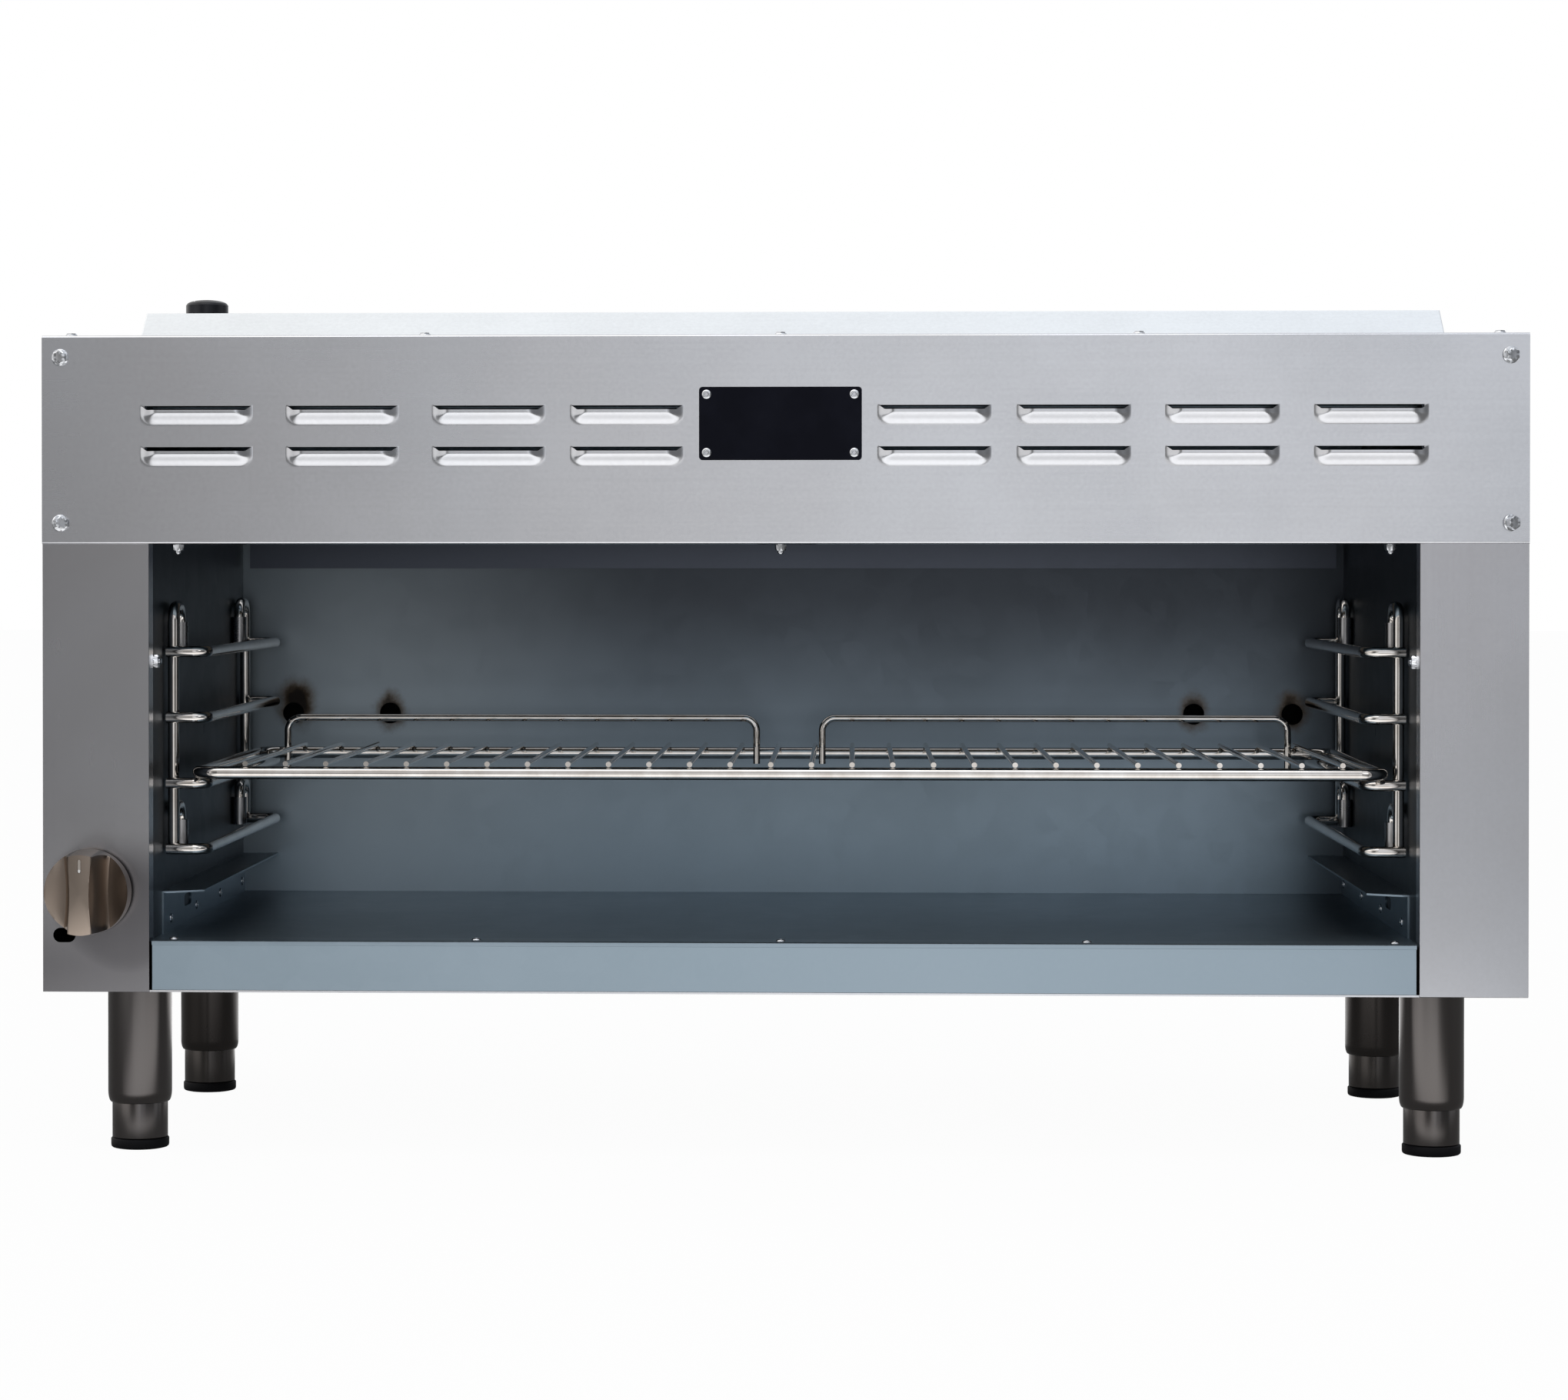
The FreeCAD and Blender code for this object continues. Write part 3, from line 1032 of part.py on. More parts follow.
def bracket_rivet(name, y):
    head = cone(name + "_head", "rivetRound", "rivetRound * headShare", "rivetProud", "-linerX + gauge", y,
                "floorZ + bracketRivetRise", "x")
    shank = rod(name + "_shank", "rivetShank", "2 * gauge", "-linerX - gauge", y,
                "floorZ + bracketRivetRise", "x")
    return fuse(name, [head, shank])


keep(floor_bracket("left_bracket"), "left_floor_bracket")
keep(mirror("right_bracket_mirror", floor_bracket("right_bracket")), "right_floor_bracket")
left_rivets = [bracket_rivet("bracket_rivet_%d" % i, y) for i, y in enumerate(bracket_rivet_ys)]
keep(group("bracket_rivet_group", left_rivets + [mirror(item.Name + "_right",
                                                        item) for item in left_rivets]),
     "bracket_rivets")

# Lift-off rack guides, their sockets and the side nuts

rung_heights = [size["floorZ"] + size["rungFirst"] + size["rungPitch"] * i
                for i in range(int(size["rungCount"]))]
hook_heights = [size["floorZ"] + size["hookUpper"], size["floorZ"] + size["hookLower"]]
upright_ys = [size["frontY"] + size["guideFront"], size["frontY"] + size["guideRear"]]
hook_ys = [upright_ys[0] + size["hookAcross"], upright_ys[1] - size["hookAcross"]]


weld_share = size["weldShare"]


def guide_shape():
    rod_r = size["guideRod"]
    x = -size["guideX"]
    wall_x = -size["linerX"] + size["rungEnd"]
    inner_x = -size["linerX"] + size["rungReach"]
    wires = []
    front_y = upright_ys[0] - 2 * rod_r * weld_share
    back_y = upright_ys[1] + 2 * rod_r * weld_share
    for z in rung_heights:
        wires.append(bent_rod([Vector(wall_x, front_y, z), Vector(inner_x, front_y, z),
                               Vector(inner_x, back_y, z), Vector(wall_x, back_y, z)], rod_r,
                              size["rungBend"]))
    for y, hook_y in zip(upright_ys, hook_ys):
        top, low = hook_heights
        foot = rung_heights[0]
        wires.append(bent_rod([Vector(x, y, foot), Vector(x, y, top), Vector(x, hook_y, top),
                               Vector(x, hook_y, top - size["hookDeep"])], rod_r, size["hookBend"]))
        wires.append(bent_rod([Vector(x, y, low - size["hookBend"] - rod_r), Vector(x, y, low),
                               Vector(x, hook_y, low), Vector(x, hook_y, low - size["hookDeep"])], rod_r,
                              size["hookBend"]))
    return wires[0].multiFuse(wires[1:])


left_guide = free_form("left_guide", guide_shape())
keep(left_guide, "left_rack_guide")
keep(mirror("right_guide", left_guide), "right_rack_guide")


def socket(name, hook_y, hook_z):
    y = "%s" % hook_y
    top = "floorZ + %s - socketDrop" % hook_z
    tube = rod(name + "_tube", "socketRound", "socketTall", "-guideX", y, top + " - socketTall")
    bore = rod(name + "_bore", "guideRod + socketGap", "socketTall + 2 * cutOver", "-guideX", y,
               top + " - socketTall - cutOver")
    return cut(name, tube, [bore])


socket_places = [(y, z) for y in ("frontY + guideFront + hookAcross", "frontY + guideRear - hookAcross")
                 for z in ("hookUpper", "hookLower")]
left_sockets = [socket("socket_%d" % i, y, z) for i, (y, z) in enumerate(socket_places)]
keep(group("left_socket_group", left_sockets), "left_guide_sockets")
keep(group("right_socket_group", [mirror(item.Name + "_right", item) for item in left_sockets]),
     "right_guide_sockets")
nut = hexagon("side_nut", "nutRound", "nutThick", "-linerX", "frontY + nutInset", "floorZ + nutRise", "x")
stud = rod("side_stud", "nutStud", "nutThick + nutStudProud + 2 * gauge", "-linerX - 2 * gauge",
           "frontY + nutInset", "floorZ + nutRise", "x")
left_nut = fuse("left_nut", [nut, stud])
keep(group("nut_group", [left_nut, mirror("right_nut", left_nut)]), "side_nuts")

# Sliding wire rack: frame rod, cross wires and two stops at the rear

carry = rung_heights[int(size["rackRung"]) - 1]
rack_z = carry + size["guideRod"] + size["rackRod"] + size["restGap"]
rack_front = size["frontY"] + size["rackFront"]
rack_rear = rack_front + size["rackDeep"]
rack_x = size["rackHalf"] - size["rackRod"]


def rack_frame_shape():
    r = size["rackRod"]
    left = size["rackShift"] - rack_x
    right = size["rackShift"] + rack_x
    corners = [Vector(0, rack_front, rack_z), Vector(left, rack_front, rack_z),
               Vector(left, rack_rear, rack_z), Vector(right, rack_rear, rack_z),
               Vector(right, rack_front, rack_z), Vector(0, rack_front, rack_z)]
    path = bent_path(corners, size["rackCorner"])
    ring = Part.Wire([Part.makeCircle(r, corners[0], Vector(1, 0, 0))])
    return path.makePipeShell([ring], True, False)


def rack_wires_shape():
    r = size["rackWire"]
    count = int(size["rackWireCount"])
    pitch = size["rackWirePitch"]
    z = rack_z + size["rackRod"] + r
    wires = []
    for i in range(count):
        x = size["rackShift"] + size["rackWireShift"] + pitch * (i - (count - 1) / 2)
        wires.append(straight(Vector(x, rack_front - r, z), Vector(x, rack_rear + r, z), r))
    return Part.makeCompound(wires)


def rack_stops_shape():
    r = size["stopRod"]
    y = rack_rear - size["rackRod"] - r
    top = rack_z + size["stopTall"]
    loops = []
    legs = [(-size["stopLeftEnd"], -size["stopLeft"]), (size["stopRightEnd"], size["stopRight"])]
    for outer, inner in legs:
        loops.append(bent_rod([Vector(outer, y, rack_z - size["stopOuterDrop"]), Vector(outer, y, top),
                               Vector(inner, y, top), Vector(inner, y, rack_z - size["stopInnerDrop"])], r,
                              size["stopBend"]))
    return Part.makeCompound(loops)


keep(free_form("rack_frame_form", rack_frame_shape()), "rack_frame")
keep(free_form("rack_wire_form", rack_wires_shape()), "rack_wires")
keep(free_form("rack_stop_form", rack_stops_shape()), "rack_stops")

# Legs: outer tube, adjustable inner tube and foot pad

tube_section = [("legRound - legWall", "0"), ("legRound", "0"),
                ("legRound", "-(legTubeLong - legShoulder)"),
                ("legRound - legCollar * collarShare", "-(legTubeLong - legShoulder * collarShare)"),
                ("legRound - legCollar * collarEndShare", "-legTubeLong"), ("footRound + legGap",
                                                                            "-legTubeLong"),
                ("footRound + legGap", "-(legTubeLong - legShoulder)"),
                ("legRound - legWall", "-(legTubeLong - legShoulder)")]
foot_section = [("footRound - legWall", "padTall"), ("footRound", "padTall"),
                ("footRound", "padTall + footTubeLong"), ("footRound - legWall", "padTall + footTubeLong")]
pad_section = [("0", "0"), ("footRound + padProud - padFloor / 2", "0"),
               ("footRound + padProud", "padFloor"), ("footRound + padProud", "padTall"), ("0", "padTall")]
corners = [("front_left", "-(halfWidth - legSide)", "frontY + legFront"),
           ("front_right", "halfWidth - legSide", "frontY + legFront"),
           ("rear_left", "-(halfWidth - legSide)", "frontY + legRear"),
           ("rear_right", "halfWidth - legSide", "frontY + legRear")]
for corner, x, y in corners:
    keep(turned(corner + "_tube", tube_section, x, y, "baseZ"), "leg_tube_" + corner)
    keep(turned(corner + "_foot", foot_section, x, y, "0"), "leg_foot_" + corner)
    keep(turned(corner + "_pad", pad_section, x, y, "0"), "foot_pad_" + corner)

doc.recompute()
for obj in doc.Objects:
    if "Invalid" in obj.State or "Error" in obj.State:
        raise RuntimeError("%s failed: %s" % (obj.Name, obj.State))
for obj in parts:
    if obj.Shape.isNull() or not obj.Shape.isValid() or not obj.Shape.Solids:
        raise RuntimeError("%s has no sound shape" % obj.Label)
os.makedirs("parts", exist_ok=True)
for obj in parts:
    obj.Shape.exportStep("parts/%s.step" % obj.Label)
box = Part.makeCompound([obj.Shape for obj in parts]).BoundBox
print("%d parts, box %.1f %.1f %.1f to %.1f %.1f %.1f" % (
    len(parts), box.XMin, box.YMin, box.ZMin, box.XMax, box.YMax, box.ZMax))
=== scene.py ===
import json
import math

import bmesh
import bpy
from mathutils import Matrix, Vector


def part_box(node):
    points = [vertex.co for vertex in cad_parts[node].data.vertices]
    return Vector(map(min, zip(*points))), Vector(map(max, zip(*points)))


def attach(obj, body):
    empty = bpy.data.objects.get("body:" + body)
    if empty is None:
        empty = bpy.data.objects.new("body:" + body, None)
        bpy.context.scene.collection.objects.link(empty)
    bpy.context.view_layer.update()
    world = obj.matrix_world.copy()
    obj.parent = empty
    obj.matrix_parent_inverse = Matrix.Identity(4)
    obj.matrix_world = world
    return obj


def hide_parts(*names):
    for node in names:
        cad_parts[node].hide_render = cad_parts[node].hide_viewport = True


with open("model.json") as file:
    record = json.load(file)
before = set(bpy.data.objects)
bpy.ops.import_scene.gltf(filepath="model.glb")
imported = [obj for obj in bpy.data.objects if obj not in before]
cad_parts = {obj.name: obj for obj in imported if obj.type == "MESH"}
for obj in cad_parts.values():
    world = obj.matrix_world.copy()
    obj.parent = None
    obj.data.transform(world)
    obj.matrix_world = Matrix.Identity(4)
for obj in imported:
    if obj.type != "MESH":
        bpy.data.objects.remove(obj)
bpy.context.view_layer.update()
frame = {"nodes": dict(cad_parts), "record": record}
nodes = frame["nodes"]
scene = bpy.context.scene
scene.view_settings.view_transform = "Standard"

gauge = 0.0012
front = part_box("left_side_panel")[0].y - gauge       # outer face of the louvered panel
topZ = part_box("front_panel")[1].z
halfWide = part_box("front_panel")[1].x


# shader maths


class Value:
    # a number or colour socket that takes ordinary maths

    def __init__(self, shader, socket):
        self.shader = shader
        self.socket = socket

    def maths(self, operation, other, swapped=False):
        pair = (other, self) if swapped else (self, other)
        return self.shader.add("ShaderNodeMath", {"operation": operation}, {0: pair[0], 1: pair[1]})

    def __add__(self, other):
        return self.maths("ADD", other)

    def __radd__(self, other):
        return self.maths("ADD", other, True)

    def __sub__(self, other):
        return self.maths("SUBTRACT", other)

    def __rsub__(self, other):
        return self.maths("SUBTRACT", other, True)

    def __mul__(self, other):
        return self.maths("MULTIPLY", other)

    def __rmul__(self, other):
        return self.maths("MULTIPLY", other, True)

    def __truediv__(self, other):
        return self.maths("DIVIDE", other)

    def __pow__(self, other):
        return self.maths("POWER", other)

    def low(self, other):
        return self.maths("MINIMUM", other)

    def high(self, other):
        return self.maths("MAXIMUM", other)

    def clamp(self):
        return self.low(1.0).high(0.0)

    def between(self, start, end):
        # 0 at start, 1 at end, smooth in the middle
        return self.shader.add("ShaderNodeMapRange", {"interpolation_type": "SMOOTHSTEP"},
                               {0: self, 1: start, 2: end, 3: 0.0, 4: 1.0})


class Shader:
    # a material, or the world when one is given

    def __init__(self, name, world=None):
        self.material = world or bpy.data.materials.new(name)
        self.material.use_nodes = True
        self.tree = self.material.node_tree
        self.tree.nodes.clear()
        self.output = self.tree.nodes.new("ShaderNodeOutputWorld" if world else "ShaderNodeOutputMaterial")
        self.place = self.add("ShaderNodeTexCoord", {}, {}, "Generated" if world else "Object")

    def add(self, kind, settings, sockets, result=0):
        node = self.tree.nodes.new(kind)
        for key, value in settings.items():
            if key == "stops":
                ramp = node.color_ramp
                while len(ramp.elements) < len(value):
                    ramp.elements.new(0.5)
                for element, (at, colour) in zip(ramp.elements, value):
                    element.position = at
                    element.color = colour
            else:
                setattr(node, key, value)
        for key, value in sockets.items():
            if isinstance(value, Value):
                self.tree.links.new(value.socket, node.inputs[key])
            else:
                node.inputs[key].default_value = value
        return Value(self, node.outputs[result])

    def stretched(self, scale, turn=(0, 0, 0)):
        return self.add("ShaderNodeMapping", {}, {"Vector": self.place, "Scale": scale, "Rotation": turn})

    def noise(self, scale, detail=3.0, rough=0.5, where=None):
        return self.add("ShaderNodeTexNoise", {}, {"Vector": where or self.place, "Scale": scale,
                                                   "Detail": detail, "Roughness": rough})

    def axes(self):
        node = self.tree.nodes.new("ShaderNodeSeparateXYZ")
        self.tree.links.new(self.place.socket, node.inputs[0])
        return [Value(self, socket) for socket in node.outputs]

    def mix(self, factor, first, second):
        node = self.tree.nodes.new("ShaderNodeMix")
        node.data_type = "RGBA"
        for socket, value in ((node.inputs[0], factor), (node.inputs[6], first), (node.inputs[7], second)):
            if isinstance(value, Value):
                self.tree.links.new(value.socket, socket)
            elif isinstance(value, tuple):
                socket.default_value = (*value[:3], 1)
            else:
                socket.default_value = value
        return Value(self, node.outputs[2])

    def bump(self, height, strength, distance=0.0005):
        return self.add("ShaderNodeBump", {}, {"Height": height, "Strength": strength, "Distance": distance})

    def surface(self, **inputs):
        bsdf = self.tree.nodes.new("ShaderNodeBsdfPrincipled")
        for key, value in inputs.items():
            socket = bsdf.inputs[key.replace("_", " ")]
            if isinstance(value, Value):
                self.tree.links.new(value.socket, socket)
            elif isinstance(value, tuple):
                socket.default_value = (*value[:3], 1)
            else:
                socket.default_value = value
        self.tree.links.new(bsdf.outputs[0], self.output.inputs[0])
        return self.material


# finishes


def sheetMetal(name, tint, warm, rough, grain, shading=None):
    # satin sheet: faint rolled grain, soft clouds where it was wiped, painted shadow and shade where its last argument
    # says
    shader = Shader(name)
    strands = shader.noise(1.0, 1, 0.5, shader.stretched(grain))
    clouds = shader.noise(3.2, 3, 0.55)
    smears = shader.noise(11.0, 4, 0.6)
    specks = shader.noise(420.0, 2, 0.6)
    colour = shader.mix(((clouds - 0.5) * 2.4 + 0.5).clamp(), warm, tint)
    marks = (specks - 0.5) * 0.2 + (strands - 0.5) * 0.05 + (smears - 0.5) * 0.25 + 0.05
    colour = shader.mix(marks.clamp(), colour, (0.30, 0.30, 0.31))
    if shading:
        # painted shadow of the knob round it, and painted shade low on the left stile
        x, y, z = shader.axes()
        across, rise = x - shading["at"][0], z - shading["at"][1]
        castShadow = (1 - ((across * across + rise * rise) ** 0.5).between(*shading["reach"])) * shading["depth"]
        low = (1 - z.between(*reversed(shading["low"]))) * (1 - x.between(-0.40, -0.30)) * shading["lowDepth"]
        colour = shader.mix(castShadow.high(low), colour, shading["tone"])
    roughness = rough + (strands - 0.5) * 0.02 + (clouds - 0.5) * 0.14 + (smears - 0.5) * 0.06
    return shader.surface(Base_Color=colour, Metallic=1.0, Roughness=roughness.clamp())


def zincSheet(name, tint, dark, rough, stains=(), wallShade=None):
    # zinc skin: faint spangle and matt streaks, with painted shade where given (darker towards the top and the side
    # edges, and paler towards the left), and heat stains where given
    shader = Shader(name)
    x, y, z = shader.axes()
    spangle = shader.add("ShaderNodeTexVoronoi", {}, {"Vector": shader.place, "Scale": 70.0}, "Color")
    spots = shader.add("ShaderNodeRGBToBW", {}, {0: spangle})
    clouds = shader.noise(4.0, 4, 0.6)
    fine = shader.noise(260.0, 3, 0.6)
    colour = shader.mix(((clouds - 0.5) * 1.6 + (spots - 0.5) * 0.2 + (fine - 0.5) * 0.3 + 0.5).clamp(), dark, tint)
    if wallShade:
        # painted shade: darker towards the top under the ceiling and near the side edges; paler towards the left
        low, high, aside, shadeTone = wallShade
        colour = shader.mix((z + (clouds - 0.5) * 0.04).between(low, high), colour, shadeTone)
        colour = shader.mix(x.maths("ABSOLUTE", 0.0).between(*aside) * 0.7, colour, shadeTone)
        colour = shader.mix((1 - x.between(*backWallTones["paleFrom"])) * backWallTones["pale"], colour, backWallTones["paleTone"])
    for side, height, reach, depth in stains:
        ragged = shader.noise(70.0, 4, 0.65)
        across = x - side
        rise = (z - height) * 0.8
        apart = (across * across + rise * rise) ** 0.5 + (ragged - 0.5) * 0.012
        colour = shader.mix((1 - apart.between(0.006, reach)) * depth, colour, backWallTones["brown"])
        colour = shader.mix((1 - apart.between(0.005, reach * 0.62)) * depth, colour, backWallTones["soot"])
    roughness = rough + (spots - 0.5) * 0.04 + (clouds - 0.5) * 0.16 + (fine - 0.5) * 0.04
    return shader.surface(Base_Color=colour, Metallic=1.0, Roughness=roughness.clamp(),
                          Normal=shader.bump(fine + spots * 0.3, 0.06, 0.0002))


def plainMetal(name, colour, worn, rough, scale=40.0, bump=0.05, metallic=1.0, grain=(1, 1, 1)):
    shader = Shader(name)
    wear = shader.noise(scale, 4, 0.6, shader.stretched(grain))
    tone = shader.mix(((wear - 0.35) * 2.4).clamp(), worn, colour)
    return shader.surface(Base_Color=tone, Metallic=metallic, Roughness=(rough + (wear - 0.5) * 0.18).clamp(),
                          Normal=shader.bump(wear, bump, 0.0003))


def hollowedMetal(name, colour, creaseShade, rough):
    # satin knob, with painted shade in the hollows at the foot of its grip
    shader = Shader(name)
    low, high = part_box("control_knob")
    x, y, z = shader.axes()
    away = (x - (low.x + high.x) / 2).maths("ABSOLUTE", 0.0)
    foot = away.between(0.0062, 0.0076) * (1 - away.between(0.0080, 0.0135))
    return shader.surface(Base_Color=shader.mix(foot * 0.9, colour, creaseShade), Metallic=1.0, Roughness=rough)


def dullPlastic(name, colour, rough, scale=700.0, bump=0.15, gloss=0.5):
    shader = Shader(name)
    grain = shader.noise(scale, 3, 0.6)
    dust = shader.noise(30.0, 4, 0.6)
    dusty = tuple(min(channel * 1.8 + 0.004, 0.8) for channel in colour)
    return shader.surface(Base_Color=shader.mix(((dust - 0.4) * 1.6).clamp(), colour, dusty), Metallic=0.0,
                          Specular_IOR_Level=gloss, Roughness=(rough + (dust - 0.5) * 0.2).clamp(),
                          Normal=shader.bump(grain, bump, 0.0003))


def firedTile(name, colour, hole, rough):
    # pressed ceramic with its close rows of flame ports
    shader = Shader(name)
    x, y, z = shader.axes()
    ports = (x * 1400.0).maths("SINE", 0.0) * (y * 1400.0).maths("SINE", 0.0)
    glow = shader.noise(9.0, 3, 0.6)
    plain = shader.mix(((glow - 0.4) * 2.0).clamp(), colour, tuple(channel * 0.72 for channel in colour))
    colour = shader.mix(ports.between(0.25, 0.6), plain, hole)
    return shader.surface(Base_Color=colour, Metallic=0.0, Roughness=rough, Normal=shader.bump(1 - ports, 0.3, 0.0004))


backWallTones = {
    "brown": (0.075, 0.046, 0.020), "soot": (0.012, 0.011, 0.011),
    "paleFrom": (-0.36, -0.08), "pale": 0.45, "paleTone": (0.40, 0.46, 0.50),
    "stains": [(-0.354, 0.2680, 0.019, 0.95), (-0.2864, 0.2625, 0.015, 0.8),
               (0.2864, 0.2625, 0.014, 0.7), (0.356, 0.2625, 0.015, 0.8)],
}
zinc = {"tint": (0.275, 0.345, 0.40), "dark": (0.225, 0.285, 0.34), "rough": 0.34, "shadeTone": (0.060, 0.068, 0.080)}
finishes = {
    "stainless_brushed": sheetMetal("satinStainless", (0.67, 0.69, 0.73), (0.63, 0.63, 0.65), 0.27, (6, 500, 500)),
    "galvanised": zincSheet("galvanisedSheet", zinc["tint"], zinc["dark"], zinc["rough"]),
    "chrome_wire": plainMetal("brightWire", (0.74, 0.72, 0.70), (0.56, 0.52, 0.48), 0.09, 55.0, 0.02),
    "socket_steel": plainMetal("socketSteel", (0.50, 0.50, 0.51), (0.38, 0.37, 0.37), 0.28, 50.0),
    "fastener_zinc": plainMetal("zincFastener", (0.78, 0.80, 0.83), (0.60, 0.61, 0.63), 0.22, 220.0),
    "black_plate": dullPlastic("barePlate", (0.003, 0.0035, 0.008), 0.42, 900.0, 0.04, 0.08),
    "ceramic_tile": firedTile("firedCeramic", (0.62, 0.55, 0.45), (0.10, 0.08, 0.07), 0.85),
    "screen_steel": plainMetal("heatedScreen", (0.34, 0.31, 0.29), (0.22, 0.18, 0.16), 0.45, 80.0),
    "black_pipe": plainMetal("blackPipe", (0.07, 0.07, 0.075), (0.04, 0.038, 0.038), 0.5, 120.0, 0.2, 0.6),
    "valve_brass": plainMetal("valveBrass", (0.72, 0.55, 0.28), (0.55, 0.40, 0.20), 0.28, 90.0),
    # near-black sheet for unlit insides: painted shade
    "inner_dark": plainMetal("unlitSheet", (0.035, 0.037, 0.042), (0.028, 0.029, 0.033), 0.6, 20.0, 0.0),
    "regulator_cast": plainMetal("castRegulator", (0.46, 0.47, 0.48), (0.36, 0.36, 0.37), 0.55, 300.0, 0.3),
    "black_plastic": dullPlastic("blackMoulding", (0.006, 0.007, 0.010), 0.30, 700.0, 0.08, 0.35),
    "foot_rubber": dullPlastic("footRubber", (0.004, 0.004, 0.005), 0.6, 900.0, 0.1, 0.12),
    "pointer_white": dullPlastic("pointerPaint", (0.80, 0.79, 0.77), 0.5, 900.0, 0.05),
    "pointer_metal": plainMetal("pointerMetal", (0.62, 0.57, 0.52), (0.52, 0.47, 0.42), 0.30, 60.0, 0.0),
    "knob_nickel": plainMetal("satinNickel", (0.36, 0.305, 0.26), (0.33, 0.275, 0.23), 0.26, 30.0, 0.0),
    "knob_turned": hollowedMetal("turnedNickel", (0.34, 0.28, 0.235), (0.035, 0.028, 0.023), 0.28),
    "foot_steel": plainMetal("footTube", (0.22, 0.205, 0.20), (0.19, 0.175, 0.165), 0.22,
                             10.0, 0.0, 1.0, (1, 1, 0.2)),
    "leg_steel": plainMetal("legTube", (0.135, 0.128, 0.128), (0.115, 0.105, 0.10), 0.20,
                             10.0, 0.0, 1.0, (1, 1, 0.2)),
}
# painted shadow of the knob on its stile, and painted shade low on that stile
knobShadow = {
    "at": (-0.405, 0.148), "reach": (0.024, 0.058), "depth": 0.85,
    "low": (0.165, 0.115), "lowDepth": 0.66, "tone": (0.16, 0.155, 0.165),
}
# the side panels take a darker copy of the satin stainless: painted shade
sideFinish = sheetMetal("sideStainless", (0.51, 0.52, 0.55), (0.45, 0.44, 0.45), 0.27, (500, 500, 6), knobShadow)
# the header lip takes a darker copy of the zinc: painted shade
lipFinish = zincSheet("lipZinc", (0.110, 0.122, 0.150), (0.090, 0.100, 0.125), 0.36)
# the front rail takes a lighter copy of the zinc: painted light
railFinish = zincSheet("brightZinc", (0.32, 0.39, 0.45), (0.275, 0.345, 0.40), 0.34)
# the back liner: real heat stains at its holes, and painted shade towards its top and sides
backFinish = zincSheet("scorchedZinc", zinc["tint"], zinc["dark"], zinc["rough"], backWallTones["stains"],
                       (0.165, 0.345, (0.345, 0.395), zinc["shadeTone"]))
# the side liners take a much darker copy of the zinc: painted shade
linerFinish = zincSheet("linerZinc", (0.060, 0.072, 0.086), (0.040, 0.048, 0.060), 0.42)
# the flue riser takes a much lighter copy of the satin stainless: painted light
riserFinish = sheetMetal("riserStainless", (0.92, 0.955, 0.975), (0.89, 0.92, 0.94), 0.36, (6, 500, 500))
ownFinish = {"left_side_panel": sideFinish, "right_side_panel": sideFinish, "header_lip": lipFinish,
             "left_liner": linerFinish, "right_liner": linerFinish, "back_liner": backFinish,
             "front_rail": railFinish, "flue_riser": riserFinish}
for side in ("left", "right"):
    # the rear legs take darker copies of the leg finishes: painted shade, as they stand in the cabinet's shade
    ownFinish["leg_tube_rear_" + side] = plainMetal(
        "rearLegTube" + side.title(), (0.062, 0.056, 0.054), (0.052, 0.047, 0.044), 0.28, 10.0, 0.0)
    ownFinish["leg_foot_rear_" + side] = plainMetal(
        "rearFootTube" + side.title(), (0.085, 0.078, 0.075), (0.072, 0.066, 0.062), 0.26, 10.0, 0.0)
slotOf = {part["node"]: part["material_slot"] for part in frame["record"]["subparts"]}
bodyOf = {node: body for body, names in frame["record"]["behaviour"]["bodies"].items() for node in names}


def finishOf(node):
    return ownFinish.get(node, finishes[slotOf[node]])


for name, obj in nodes.items():
    obj.data.materials.clear()
    obj.data.materials.append(finishOf(name))
print("finishes on", len(nodes), "nodes")

# mesh helpers


def meshPiece(name, points, faces, material, smooth=40):
    mesh = bpy.data.meshes.new(name)
    mesh.from_pydata([tuple(point) for point in points], [], faces)
    work = bmesh.new()
    work.from_mesh(mesh)
    bmesh.ops.remove_doubles(work, verts=work.verts, dist=1e-6)
    bmesh.ops.recalc_face_normals(work, faces=work.faces)
    work.to_mesh(mesh)
    work.free()
    mesh.materials.append(material)
    piece = bpy.data.objects.new(name, mesh)
    scene.collection.objects.link(piece)
    rounded(mesh, smooth)
    return piece


def rounded(mesh, angle):
    mesh.shade_smooth()
    mesh.set_sharp_from_angle(angle=math.radians(angle))


def plainMesh(piece, name=None):
    # the evaluated mesh in place of the modifiers
    made = bpy.data.meshes.new_from_object(piece.evaluated_get(bpy.context.evaluated_depsgraph_get()))
    piece.modifiers.clear()
    old = piece.data
    piece.data = made
    made.name = name or piece.name
    if old.users == 0:
        bpy.data.meshes.remove(old)
    return piece


def evened(piece, angle):
    # flat faces keep their own normal beside a rounded fold
    rounded(piece.data, angle)
    even = piece.modifiers.new("even", "WEIGHTED_NORMAL")
    even.mode = "FACE_AREA"
    even.keep_sharp = True
    return plainMesh(piece)


